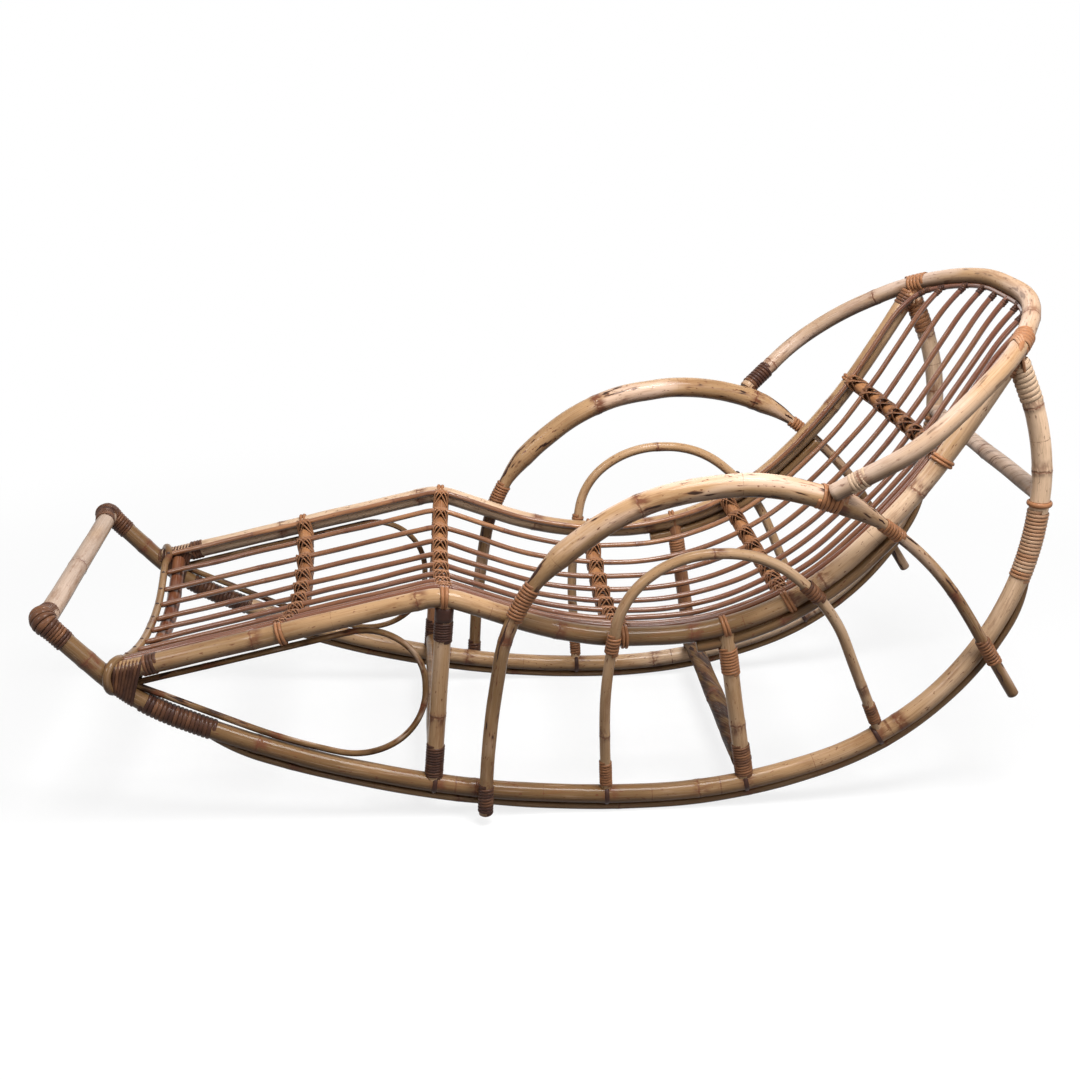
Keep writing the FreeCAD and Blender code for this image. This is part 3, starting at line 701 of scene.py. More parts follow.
class Finish:
    """The shader nodes of a material or of the world."""

    def __init__(self, owner):
        self.owner = owner
        owner.use_nodes = True
        self.tree = owner.node_tree
        self.tree.nodes.clear()

    def node(self, kind, settings=None, inputs=None, output=0):
        """Adds a node, sets it up, feeds its sockets and gives one of its outputs."""
        made = self.tree.nodes.new(kind)
        for key, value in (settings or {}).items():
            setattr(made, key, value)
        for key, value in (inputs or {}).items():
            if isinstance(value, Sock):
                self.tree.links.new(value.socket, made.inputs[key])
            else:
                made.inputs[key].default_value = value
        return Sock(self, made.outputs[output]) if made.outputs else None

    def attribute(self, name, output):
        return self.node("ShaderNodeAttribute", {"attribute_name": name}, None, output)

    def stretched(self, vector, scale):
        return self.node("ShaderNodeVectorMath", {"operation": "MULTIPLY"}, {0: vector, 1: scale})

    def noise(self, vector, scale, detail=2.0, roughness=0.5):
        """Noise on a vector that is scaled along each of its axes."""
        inputs = {"Vector": self.stretched(vector, scale), "Scale": 1.0}
        return self.node("ShaderNodeTexNoise", None,
                         {**inputs, "Detail": detail, "Roughness": roughness})

    def mix(self, factor, first, second):
        inputs = {0: factor, 6: colour(first), 7: colour(second)}
        return self.node("ShaderNodeMix", {"data_type": "RGBA"}, inputs, 2)

    def seen(self):
        """1 for rays from the camera, off a shiny surface or through a clear one, otherwise 0."""
        camera, glossy, clear = [self.node("ShaderNodeLightPath", None, None, "Is %s Ray" % kind)
                                 for kind in ("Camera", "Glossy", "Transmission")]
        return camera.maths("MAXIMUM", camera.maths("MAXIMUM", camera, glossy), clear)

    def surface(self, base, roughness, height, distance, **constants):
        """Principled shader with a bump, joined to the output."""
        bump = {"Strength": BUMP_STRENGTH, "Distance": distance, "Height": height}
        inputs = {"Base Color": base, "Roughness": roughness,
                  "Normal": self.node("ShaderNodeBump", None, bump)}
        inputs.update({key.replace("_", " "): value for key, value in constants.items()})
        shader = self.node("ShaderNodeBsdfPrincipled", None, inputs)
        self.node("ShaderNodeOutputMaterial", None, {"Surface": shader})


BUMP_STRENGTH = 0.42

# Noise on a cane, in cells for a millimetre: across it twice, then along it
PATCHES = (0.028, 0.028, 0.006)
FIBRES = (0.75, 0.75, 0.012)
BLOTCHES = (0.10, 0.10, 0.035)
RAGS = (0.16, 0.16, 0.05)
VARNISH_RUNS = (0.06, 0.06, 0.011)
SPECKS = (0.26, 0.26, 0.10)
SCARS = (0.11, 0.11, 0.024)


def colour(value):
    return value if isinstance(value, Sock) else (value[0], value[1], value[2], 1.0)


def cane_finish(name, shades, colours, streaks=0.4, marks=0.6, bark=0.0, bloom=0.0, grime=0.8,
                gloss=0.22, coat=0.26, shine=0.05, mottle=1.0, spread=1.1):
    """Varnished cane in three shades: fibres, stained joints, specks, bark and painted shade on the
    underside.
    """
    finish = Finish(bpy.data.materials.new(name))
    grain = finish.attribute("grain", 1)
    joint = finish.attribute("joint", 2)
    tone = finish.attribute("tone", 2)
    patch = finish.noise(grain, [scale * mottle for scale in PATCHES])
    fibre = finish.noise(grain, FIBRES, 3.0, 0.6)
    blotch = finish.noise(grain, BLOTCHES, 3.0, 0.6)
    ragged = finish.noise(grain, RAGS)
    shade = tone + (patch - 0.5) * spread
    base = finish.mix(shade.ramp(0.0, 0.55), shades[0], shades[1])
    base = finish.mix(shade.ramp(0.5, 1.0), base, shades[2])
    base = finish.mix(patch.ramp(0.45, 0.70) * bloom, base, colours.bloom)
    varnish = finish.noise(grain, VARNISH_RUNS, 4.0, 0.65)
    base = finish.mix(varnish.ramp(0.50, 0.72) * 0.55, base, colours.varnish)
    base = finish.mix(fibre.ramp(0.48, 0.78) * streaks, base, colours.stain)
    base = finish.mix((1.0 - fibre.ramp(0.28, 0.45)) * streaks * 0.5, base, colours.bloom)
    ring_place = joint + (ragged - 0.5) * 9.0
    stain = (1.0 - abs(ring_place - 5.0).ramp(3.0, 18.0)) * blotch.ramp(0.38, 0.58) * marks
    base = finish.mix(stain, base, colours.stain)
    ring = (1.0 - abs(ring_place).ramp(0.5, 2.4)) * (ragged.ramp(0.2, 0.6) * 0.5 + 0.3)
    base = finish.mix(ring, base, colours.stain)
    speck = finish.noise(grain, SPECKS).ramp(0.64, 0.72) * marks
    base = finish.mix(speck, base, colours.stain)
    normal = finish.node("ShaderNodeNewGeometry", None, None, 1)
    facing = finish.node("ShaderNodeSeparateXYZ", None, {0: normal}, 2)
    if bark:
        scar = finish.noise(grain, SCARS)
        base = finish.mix(scar.ramp(0.57, 0.68) * bark * 0.6, base, colours.stain)
        base = finish.mix(scar.ramp(0.64, 0.69) * bark, base, colours.bark)
    # Painted shade: faces turned downwards are darkened towards the bark colour.
    under = (0.15 - facing).ramp(0.0, 1.0) * (blotch * 0.6 + 0.55) * grime
    base = finish.mix(under, base, colours.bark)
    rough = gloss + fibre * 0.16 + blotch.ramp(0.5, 0.8) * 0.14 + patch.ramp(0.42, 0.62) * 0.14
    height = fibre * 0.5 + blotch * 0.6 - ring * 0.6
    finish.surface(base, rough, height, 0.0008, Coat_Weight=coat, Coat_Roughness=0.08,
                   Specular_IOR_Level=shine)
    return finish.owner


def peel_finish(name, colours):
    """Strips of peel: tone set turn by turn, fibres along the strip and painted shade between the turns."""
    finish = Finish(bpy.data.materials.new(name))
    grain = finish.attribute("grain", 1)
    tone = finish.attribute("tone", 2)
    edge = finish.attribute("edge", 2)
    fibre = finish.noise(grain, (1.1, 0.03, 0.7), 3.0, 0.6)
    patch = finish.noise(grain, (0.05, 0.03, 0.7), 2.0)
    shade = tone + (patch - 0.5) * 0.5
    base = finish.mix(shade.ramp(0.0, 0.65), colours.peel_dark, colours.peel_orange)
    base = finish.mix(shade.ramp(0.7, 1.2), base, colours.peel_tan)
    base = finish.mix(fibre.ramp(0.50, 0.8) * 0.4, base, colours.bark)
    # Painted shade: the edges of each strip are darkened where the turns meet.
    base = finish.mix(edge.ramp(0.80, 1.0) * 0.6, base, colours.bark)
    finish.surface(base, 0.36 + fibre * 0.22, fibre, 0.0004, Coat_Weight=0.12, Coat_Roughness=0.16,
                   Specular_IOR_Level=0.1)
    return finish.owner


def nail_finish(name, colours):
    """Dull iron nail heads with a little rust."""
    finish = Finish(bpy.data.materials.new(name))
    place = finish.node("ShaderNodeTexCoord", None, None, 3)
    rust = finish.noise(place, (900.0, 900.0, 900.0), 2.0)
    base = finish.mix(rust.ramp(0.45, 0.7), colours.nail, colours.stain)
    finish.surface(base, 0.55 + rust * 0.3, rust, 0.0002, Metallic=0.2)
    return finish.owner


def floor_finish(name, stage):
    """Pale floor that shows as white, keeps the shadow near the chaise and fades out far away."""
    finish = Finish(bpy.data.materials.new(name))
    place = finish.node("ShaderNodeTexCoord", None, None, 3)
    away = finish.node("ShaderNodeVectorMath", {"operation": "LENGTH"}, {0: place}, 1)
    cloud = finish.noise(place, (1.5, 1.5, 1.5), 2.0)
    tint = finish.mix(cloud * 0.1, stage.bounce, stage.floor)
    dull = {"Roughness": 1.0, "Specular IOR Level": 0.0}
    matt = finish.node("ShaderNodeBsdfPrincipled", None, {"Base Color": tint, **dull})
    white = finish.node("ShaderNodeBsdfPrincipled", None, {"Base Color": colour(stage.floor), **dull})
    glow = finish.node("ShaderNodeEmission", None, {"Color": (1.0, 1.0, 1.0, 1.0), "Strength": 1.0})
    share = away.ramp(0.9, 2.1) * 0.2 + 0.8
    shown = finish.node("ShaderNodeMixShader", None, {0: share, 1: white, 2: glow})
    surface = finish.node("ShaderNodeMixShader", None, {0: finish.seen(), 1: matt, 2: shown})
    finish.node("ShaderNodeOutputMaterial", None, {"Surface": surface})
    return finish.owner


FINISHES = {}


def lighter(value, share):
    return [part * share for part in value]


def finishes():
    """All the materials of the chaise, made once."""
    if not FINISHES:
        c = bpy.context.scene.chaise_colours
        plain = (c.olive, c.honey, c.pale)
        worn = (c.honey, c.worn, lighter(c.worn, 1.3))
        canes = {
            "honey": ("Honey cane", plain, {"marks": 0.8}),
            "pale": ("Pale cane", (c.honey, c.pale, lighter(c.pale, 1.25)), {}),
            "arm": ("Arm cane", plain,
                    {"marks": 0.95, "bark": 0.95, "bloom": 0.6, "gloss": 0.32, "coat": 0.2}),
            "hoop": ("Hoop cane", (c.honey, lighter(c.worn, 1.05), c.bloom),
                     {"marks": 0.5, "bark": 0.4, "bloom": 0.25, "gloss": 0.40, "coat": 0.1}),
            "runner": ("Runner cane", plain, {"streaks": 0.5, "marks": 0.85, "gloss": 0.3, "coat": 0.2}),
            "worn": ("Worn cane", worn, {"streaks": 0.3, "marks": 0.4, "gloss": 0.5}),
            "dark": ("Mottled cane", plain, {"streaks": 0.6, "marks": 0.9, "bark": 1.0, "grime": 0.9}),
            "bark": ("Bark cane", (c.bark, c.olive, c.worn),
                     {"marks": 0.9, "bark": 1.0, "gloss": 0.4, "coat": 0.04, "mottle": 2.6, "spread": 2.2}),
            "streaked": ("Streaked cane", worn, {"marks": 0.5, "bark": 0.5, "gloss": 0.5}),
            "bearer": ("Brown cane", (c.stain, c.slat_pale, c.honey), {"streaks": 0.5}),
            "slat": ("Slat cane", (c.stain, c.slat, c.slat_pale),
                     {"streaks": 0.5, "marks": 0.7, "gloss": 0.14, "coat": 0.55, "shine": 0.15}),
        }
        for key, (name, shades, look) in canes.items():
            FINISHES[key] = cane_finish(name, shades, c, **look)
        FINISHES["peel"] = peel_finish("Cane peel", c)
        FINISHES["nail"] = nail_finish("Nail iron", c)
    return FINISHES


def sizes():
    """Cane thicknesses in millimetres."""
    group = bpy.context.scene.chaise_sizes
    return {key: getattr(group, key) / MM for key in CaneSizes.__annotations__ if key != "cane_sides"}


def cane_sides():
    return bpy.context.scene.chaise_sizes.cane_sides


class Side:
    """One side of the chaise: its name, number and way outwards, and whether it is the far one."""

    def __init__(self, name, number, outward):
        self.name = name
        self.number = number
        self.outward = outward
        self.far = name == "right"

    def place(self, route):
        """A route of the left side, moved to this one."""
        return Mirrored(route) if self.far else route


SIDES = (Side("left", 1, OUT), Side("right", 2, -OUT))


def cane_piece(name, look, slot, route, diameter, begin=0.0, end=None, joints=(), seed=0, sides=None,
               **shape):
    """A piece made of one cane, in place of the frame node of that name."""
    form = Form()
    cane(form, route, diameter, begin, end, joints, seed, sides or cane_sides(), **shape)
    form.build(name, finishes()[look], slot, name)


def peel_piece(form, name):
    form.build(name, finishes()["peel"], "peel", name)


def windings(form, route, height, number, *rows):
    """Windings on a route: start, length, turns, thickness, extra height, seed and tone of each."""
    for begin, length, turns, core, extra, seed, tone in rows:
        wrap(form, route, begin, begin + length, turns, core, height + extra, seed=number + seed,
             tone=tone)


def eased(value):
    """Smooth step from 0 to 1."""
    share = min(1.0, max(0.0, value))
    return share * share * (3.0 - 2.0 * share)


def runner_tone(mark, far):
    """Tone of a runner: dark at the front and paler to the rear."""
    return -0.05 + 0.75 * eased((mark - 850.0) / 700.0) + far * 0.6


def rail_tone(mark, far):
    """Tone of a seat rail: the near one is darkened under the arm as painted shade, the far one pale at the
    foot.
    """
    share = mark / RAIL.length
    if far:
        return 1.25 - 0.65 * eased((share - 0.3) / 0.2)
    return 0.36 - 0.46 * eased((share - 0.34) / 0.14) + 0.92 * eased((share - 0.58) / 0.20)


def arm_tone(mark, far):
    """Tone of an arm: dark leg, darker still on the far side as painted shade, pale arm and dark tail."""
    tone = 0.3 + 0.27 * eased((mark - 300.0) / 160.0) - 0.42 * eased((mark - ARM.length + 330.0) / 160.0)
    return tone - far * 0.35 * eased((400.0 - mark) / 160.0)


def slat_tone(mark, count, length):
    """Tone of a slat: paler from near to far, darker up the back and at its top."""
    top = mark - length
    tone = 0.22 + 0.5 * count / SLAT_COUNT
    return tone - 0.25 * eased((top + 420.0) / 300.0) - 0.5 * eased((top + 80.0) / 60.0)


def wear_route(size):
    """Line of a wear strip under the runner, whose ends sink into the splices."""
    thick, thin = size["frame_cane"], size["wear_cane"]
    below = lowered(side_points(), SIDE_RADII, (thick + thin) / 2.0 + GAP)
    inner = lowered(side_points(), SIDE_RADII, thick / 2.0 - thin / 2.0)
    first = below.where("x", FRONT_SPLICE_X[1] + 75.0)
    last = below.where("z", REAR_SPLICE_Z[0] - 80.0, True)
    start, leave = below.at(first)
    end, arrive = below.at(last)
    front = Bend(start, -leave, inner.point("x", FRONT_SPLICE_X[1] - 6.0))
    rear = Bend(end, arrive, inner.point("z", REAR_SPLICE_Z[0] + 6.0, True))
    return Route([Backward(front), Stretch(below, first, last), rear])


class BuildRockers(bpy.types.Operator):
    """Front poles, runners, rear uprights and the wear strips under them"""
    bl_idname = "chaise.rockers"
    bl_label = "Rocker Canes"

    def execute(self, context):
        size = sizes()
        front = sum(FRONT_SPLICE) / 2.0
        rear = sum(REAR_SPLICE) / 2.0
        joints = [SIDE.where("x", x) for x in RUNNER_JOINTS_X + FEET_X]
        top_joints = [SIDE.length - away for away in UPRIGHT_JOINTS]
        worn = wear_route(size)
        for side in SIDES:
            seed = side.number * 10
            stretches = (
                ("_front_pole", "honey", POLE_END + 4.0, front, [SIDE.where("x", POLE_JOINT_X)], -0.05),
                ("_runner", "runner", front, rear, joints, lambda mark: runner_tone(mark, side.far)),
                ("_rear_upright", "pale", rear, SIDE.length, top_joints, 0.5 if side.far else 1.0))
            for count, (part, look, begin, end, rings, tone) in enumerate(stretches):
                cane_piece(side.name + part, look, "cane", side.place(SIDE), size["frame_cane"],
                           begin, end, rings, seed + count, tone=tone)
            rings = spaced_joints(60.0, worn.length - 60.0, size["joint_spacing"], side.number)
            cane_piece(side.name + "_wear_strip", "honey", "cane", side.place(worn), size["wear_cane"],
                       joints=rings, seed=seed + 5, sides=12, tone=0.05)
        return {"FINISHED"}


class BuildRails(bpy.types.Operator):
    """Seat rails and the canes under them"""
    bl_idname = "chaise.rails"
    bl_label = "Seat Rails"

    def execute(self, context):
        size = sizes()
        thick, thin = size["frame_cane"], size["under_cane"]
        joints = [RAIL.where("x", x) for x in RAIL_JOINTS_X]
        under = lowered(RAIL_POINTS, RAIL_RADII, (thick + thin) / 2.0 + GAP)
        first, last = [under.where("x", x) for x in UNDER_RAIL_X]
        for side in SIDES:
            seed = side.number * 10
            cane_piece(side.name + "_seat_rail", "honey", "cane", side.place(RAIL), thick, 10.0, None,
                       joints, seed + 1, tone=lambda mark: rail_tone(mark, side.far))
            rings = spaced_joints(first, last, size["joint_spacing"], side.number + 4)
            cane_piece(side.name + "_under_rail", "honey", "cane", side.place(under), thin, first, last,
                       rings, seed + 2, 16, tone=0.1)
        return {"FINISHED"}


class BuildPosts(bpy.types.Operator):
    """Posts between rail and runner, the stretchers between them and the foot bar"""
    bl_idname = "chaise.posts"
    bl_label = "Posts and Cross Bars"

    def execute(self, context):
        size = sizes()
        for side in SIDES:
            # The far posts take the darker, redder brown finish and a lower tone: painted shade of the seat
            # region.
            look, tone = ("bearer", 0.3) if side.far else ("honey", 0.6)
            posts = (("_front_post", FRONT_POST), ("_rear_post", REAR_POST))
            for count, (part, route) in enumerate(posts):
                cane_piece(side.name + part, look, "cane", side.place(route), size["post_cane"], 1.0,
                           route.length - 1.0, [route.length * POST_JOINT], side.number * 20 + count,
                           tone=tone)
        ends = (FRONT_POST.point("z", STRETCHER_Z[0]), REAR_POST.point("z", STRETCHER_Z[1]),
                SIDE.point("z", STRETCHER_Z[2], True), profile(SIDE_CORNERS)[0])
        for count, (end, (part, row)) in enumerate(zip(ends, BARS.items())):
            look, slot, tone, extra, lumps, twist = row
            route = rounded([end, Vector((end.x, -end.y, end.z))])
            cane_piece(part, look, slot, route, size["cross_cane"] + extra, BAR_INSET,
                       route.length - BAR_INSET, [route.length * BAR_JOINT], count + 60, tone=tone,
                       girth=lambda mark: 1.04 - 0.06 * mark / route.length, lumps=lumps, twist=twist)
        return {"FINISHED"}


def arm_girth(size, front):
    """Thickness of the arm along it, as a share of the thick part: leg, taper, arm, taper and tail."""
    leg, tail = size["arm_leg"] / size["arm_cane"], size["arm_tail"] / size["arm_cane"]
    rear = ARM.length - ARM_REAR_SCARF

    def share(mark):
        if mark < rear - ARM_TAPER:
            return leg + (1.0 - leg) * min(1.0, max(0.12 * mark / front, (mark - front) / ARM_TAPER))
        return tail + (1.0 - tail) * min(1.0, max(0.0, (rear - mark) / ARM_TAPER))

    return share


class BuildArms(bpy.types.Operator):
    """Thick bent arms with their whittled legs and tails"""
    bl_idname = "chaise.arms"
    bl_label = "Arms"

    def execute(self, context):
        size = sizes()
        joints = [ARM.where(*place) for place in ARM_JOINTS]
        for side in SIDES:
            cane_piece(side.name + "_arm", "arm", "cane", side.place(ARM), size["arm_cane"], joints=joints,
                       seed=side.number * 30, sides=cane_sides() + 4, lumps=0.025, sway=1.2,
                       tone=lambda mark: arm_tone(mark, side.far),
                       girth=arm_girth(size, FRONT_TAPERS[side.name]))
        return {"FINISHED"}


class BuildInnerHoops(bpy.types.Operator):
    """Thinner hoops under the arms"""
    bl_idname = "chaise.inner_hoops"
    bl_label = "Inner Hoops"

    def execute(self, context):
        joints = [INNER_HOOP.where(*place) for place in INNER_HOOP_JOINTS]
        for side in SIDES:
            cane_piece(side.name + "_inner_hoop", "honey", "cane", side.place(INNER_HOOP),
                       sizes()["inner_hoop"], joints=joints, seed=side.number * 40, sides=16, tone=0.6)
        return {"FINISHED"}


class BuildScrolls(bpy.types.Operator):
    """Thin teardrop canes of the front triangles"""
    bl_idname = "chaise.scrolls"
    bl_label = "Scrolls"

    def execute(self, context):
        size = sizes()
        thin = size["scroll_cane"]
        below = lowered(RAIL_POINTS, RAIL_RADII, (size["frame_cane"] + thin) / 2.0 + SCROLL_GAP)
        start, run = below.at(below.where("x", SCROLL_START_X))
        post = FRONT_POST.point("z", SCROLL_TOUCH_Z)
        right = post.x - (size["post_cane"] + thin) / 2.0 - 3.0 * GAP
        top = start + run * ((right - start.x) / run.x)
        corners = [start - run * SCROLL_TUCKS[0], top] + profile(((right, SCROLL_LOW_Z),) + SCROLL_END)
        corners[-1] = corners[-1] + (corners[-1] - corners[-2]).normalized() * SCROLL_TUCKS[1]
        route = rounded(corners, SCROLL_RADII)
        for side in SIDES:
            rings = spaced_joints(0.0, route.length, size["joint_spacing"], side.number + 8)
            cane_piece(side.name + "_scroll", "bark", "cane", side.place(route), thin, joints=rings,
                       seed=side.number * 50, sides=12, tone=0.45)
        return {"FINISHED"}


class BuildBackHoop(bpy.types.Operator):
    """Flared hoop of the back and the thin cane inside its crown"""
    bl_idname = "chaise.back_hoop"
    bl_label = "Back Hoop"

    def execute(self, context):
        size = sizes()
        length = HOOP.length
        near = HOOP.where("x", 446.0)
        joints = [near, length * 0.36, length - HOOP.where("x", 640.0), length - near * 1.4]
        cane_piece("back_hoop", "hoop", "cane", HOOP, size["back_hoop"], 2.0, length - 2.0, joints, 71,
                   tone=lambda mark: 0.36 - 0.26 * math.exp(-((mark / length - 0.5) / 0.14) ** 2))
        inside = crown_route(size)
        first, last = crown_ends(inside, size)
        cane_piece("hoop_band", "slat", "slat", inside, HOOP_BAND, first, last, [], 72, 12, tone=0.15)
        return {"FINISHED"}


def crown_route(size):
    """Line of the thin cane inside the crown of the back hoop."""
    return rounded(hoop_points((size["back_hoop"] + HOOP_BAND_SEAT) / 2.0 + 3.0 * GAP))


def crown_half(size):
    """Distance of the ends of that cane from the middle plane."""
    return slat_edge(size) - 2.0 * size["slat"]


def crown_ends(inside, size):
    half = crown_half(size)
    return inside.where("y", -half), inside.where("y", half)


def slat_edge(size):
    """Distance of the edge slats from the middle plane."""
    reach = (size["frame_cane"] + size["slat"]) / 2.0 + GAP
    return TRACK_HALF - math.sqrt(reach ** 2 - EDGE_RISE ** 2)


def bed_radius(size):
    return (slat_edge(size) ** 2 + BED_DEPTH ** 2) / (2.0 * BED_DEPTH)


def slat_places(size):
    edge = slat_edge(size)
    return [edge * (2.0 * k / (SLAT_COUNT - 1) - 1.0) for k in range(SLAT_COUNT)]


def slat_route(size, y):
    """Line of a slat whose top is bent in under the thin cane of the crown."""
    radius = bed_radius(size)
    drop = BED_DEPTH - EDGE_RISE - (radius - math.sqrt(radius ** 2 - y ** 2))
    points = profile(RAIL_CORNERS, y)
    back = (points[-1] - points[-2]).normalized()
    points[-1] = points[-1] + back * (SLAT_REACH - CROWN_DROP * y * y)
    route = lowered(points, RAIL_RADII, drop)
    half = crown_half(size) - 4.0
    goal = crown_route(size).point("y", max(-half, min(half, y)))
    last = route.runs[-1]
    point, run = last.at(last.length - SLAT_BEND)
    return Route(route.runs[:-1] + [Straight(last.start, point), Bend(point, run, goal)])


def bed_arc(size, place):
    """Up direction, radius and centre of the arc across the bed at a place of the rail."""
    point, run = RAIL.at(place)
    up = Vector((-run.z, 0.0, run.x))
    radius = bed_radius(size)
    return up, radius, Vector((point.x, 0.0, point.z)) + up * (radius - BED_DEPTH + EDGE_RISE)


def bearer_route(size, x):
    """Arc of a bearer under the slats, from rail to rail."""
    up, radius, centre = bed_arc(size, RAIL.where("x", x))
    radius += (size["slat"] + size["cross_cane"]) / 2.0 + GAP
    half = TRACK_HALF - size["frame_cane"] / 4.0
    low = math.sqrt(radius ** 2 - half ** 2)
    start = centre - up * low + Vector((0.0, -half, 0.0))
    end = centre - up * low + Vector((0.0, half, 0.0))
    leave = (up * (-half) + Vector((0.0, low, 0.0))).normalized()
    return Route([Bend(start, leave, end)]), up


def band_route(size):
    """Line of the front band across the bed, hooked round the front joint at both ends."""
    up, radius, centre = bed_arc(size, BAND_MIDDLE)
    across = [BAND_REACH * k / 6.0 - BAND_REACH for k in range(7)]
    left = [Vector(p) for p in reversed(BAND_HOOK)]
    left += [centre - up * math.sqrt(radius ** 2 - y ** 2) + Vector((0.0, y, 0.0)) for y in across]
    return rounded(left + [Vector((p.x, -p.y, p.z)) for p in reversed(left[:-1])])


class BuildSlatBed(bpy.types.Operator):
    """Slats, the bowed bearers under them and the nailed band at the foot end"""
    bl_idname = "chaise.slat_bed"
    bl_label = "Slat Bed"

    def execute(self, context):
        size = sizes()
        spacing = size["joint_spacing"]
        for count, y in enumerate(slat_places(size)):
            route = slat_route(size, y)
            rings = spaced_joints(BAND_END, route.length, spacing * 1.2, count + 20)
            cane_piece("slat_%02d" % (count + 1), "slat", "slat", route, size["slat"], BAND_END, None,
                       rings, count + 80, 12, lumps=0.05, sway=1.5,
                       tone=lambda mark: slat_tone(mark, count, route.length))
        for count, (part, x) in enumerate(BEARER_X.items()):
            route = bearer_route(size, x)[0]
            rings = spaced_joints(0.0, route.length, spacing, count + 40)
            cane_piece(part + "_bearer", "bearer", "cane", route, size["cross_cane"], BAR_INSET,
                       route.length - BAR_INSET, rings, count + 100, tone=0.0 if part == "front" else 0.36)
        route = band_route(size)
        rings = spaced_joints(0.0, route.length, spacing, 3)
        cane_piece("front_band", "honey", "slat", route, size["front_band"], joints=rings, seed=120,
                   sides=14, tone=lambda mark: 0.16 - 0.3 * eased(abs(mark / route.length - 0.5) * 8.0 - 2.4))
        nails = Form()
        for y in slat_places(size):
            point, run = route.at(route.where("y", y * 0.98))
            nail(nails, point, cross_axes(run, UP)[0], size["front_band"] / 2.0)
        nails.build("front_band_nails", finishes()["nail"], "slat")
        return {"FINISHED"}


def nail(form, base, axis, height):
    """Small domed nail head that sits on a cane."""
    side = cross_axes(axis, UP)
    rings = []
    for reach, rise in ((2.9, height - 1.0), (2.9, height), (2.3, height + 0.8), (1.1, height + 1.2)):
        ring = []
        for k in range(NAIL_SIDES):
            angle = TAU * k / NAIL_SIDES
            spoke = side[0] * math.cos(angle) + side[1] * math.sin(angle)
            ring.append(form.add(base + axis * rise + spoke * reach, (reach, rise, angle)))
        rings.append(ring)
    form.skin(rings)


class BuildSplices(bpy.types.Operator):
    """Long windings over the splices of the rockers"""
    bl_idname = "chaise.splices"
    bl_label = "Splice Windings"

    def execute(self, context):
        size = sizes()
        for part, (begin, end), turns, tone in (("front_splice_windings", FRONT_SPLICE, 17, 0.12),
                                                ("rear_splice_windings", REAR_SPLICE, 19, 0.9)):
            form = Form()
            for side in SIDES:
                wrap(form, side.place(SIDE), begin, end, turns, size["frame_cane"], size["peel_height"],
                     seed=side.number, tone=tone)
            peel_piece(form, part)
        return {"FINISHED"}


class BuildPostWindings(bpy.types.Operator):
    """Windings at both ends of the posts"""
    bl_idname = "chaise.post_windings"
    bl_label = "Post Windings"

    def execute(self, context):
        size = sizes()
        form = Form()
        thick, height = size["post_cane"], size["peel_height"]
        for side in SIDES:
            front, rear = side.place(FRONT_POST), side.place(REAR_POST)
            cane(form, front, thick + 3.0, 13.0, 37.0, seed=side.number, tone=-0.1)
            windings(form, front, height, side.number, (36.0, 34.0, 8, thick, 0.0, 0, 0.0),
                     (front.length - 68.0, 56.0, 12, thick, 0.0, 5, 0.12))
            windings(form, rear, height, side.number, (36.0, 46.0, 9, thick, 0.0, 1, 0.6),
                     (rear.length - 68.0, 56.0, 12, thick, 0.0, 6, 0.3))
            for count, x in enumerate(FEET_X):
                at = SIDE.where("x", x)
                wrap(form, side.place(SIDE), at - 2.0, at + 2.0, 1.1, size["frame_cane"], 2.4, width=7.5,
                     phase=0.45, seed=side.number + count, tone=-0.05)
        peel_piece(form, "post_windings")
        return {"FINISHED"}


class BuildArmBindings(bpy.types.Operator):
    """Bindings of the arms and inner hoops at the runner and the rail"""
    bl_idname = "chaise.arm_bindings"
    bl_label = "Arm Bindings"

    def execute(self, context):
        size = sizes()
        height = size["peel_height"]
        leg, thick, thin = size["arm_leg"], size["arm_cane"], size["arm_tail"]
        rear = ARM.length - ARM_REAR_SCARF
        tail = ARM.where("z", 268.0, True)
        top = ARM.where("x", 392.0)
        form = Form()
        for side in SIDES:
            arm = side.place(ARM)
            front = FRONT_TAPERS[side.name] - 62.0
            windings(form, arm, height, side.number, (4.0, 48.0, 9, leg, 0.0, 0, 0.12),
                     (front, 60.0, 11, leg + 2.6, 0.4, 2, 0.42), (rear + 2.0, 40.0, 7, thin, 0.6, 4, 0.66),
                     (tail - 27.0, 48.0, 9, thin, 1.0, 6, 0.4))
            if not side.far:
                windings(form, arm, height, side.number, (top, 38.0, 6, thick, 0.0, 7, 0.66))
            share = arm_girth(size, FRONT_TAPERS[side.name])
            slivers = ((front + 52.0, 56.0, -1.2, 7.0), (front - 70.0, 74.0, -0.7, 4.0),
                       (rear - 58.0, 64.0, -1.3, 5.0), (rear - 20.0, 23.0, -0.4, 4.0),
                       (rear + 40.0, 34.0, -1.0, 4.0), (tail + 20.0, 42.0, 0.4, 4.5))
            for count, (begin, length, angle, width) in enumerate(slivers):
                sliver(form, arm, begin, begin + length, lambda mark: thick * share(mark), angle, width,
                       count + side.number)
        peel_piece(form, "arm_bindings")
        form = Form()
        thick = size["inner_hoop"]
        front = INNER_HOOP.where("z", 302.0)
        back = INNER_HOOP.where("z", 378.0, True)
        for side in SIDES:
            hoop = side.place(INNER_HOOP)
            windings(form, hoop, height, side.number, (17.0, 45.0, 9, thick, 0.0, 8, 0.45),
                     (front - 16.0, 32.0, 6, thick + 2.0, 0.0, 10, 0.5),
                     (back - 18.0, 36.0, 6, thick + 3.0, 0.0, 12, 0.25),
                     (hoop.length - 56.0, 39.0, 8, thick, 0.0, 14, 0.3))
        peel_piece(form, "inner_hoop_bindings")
        return {"FINISHED"}


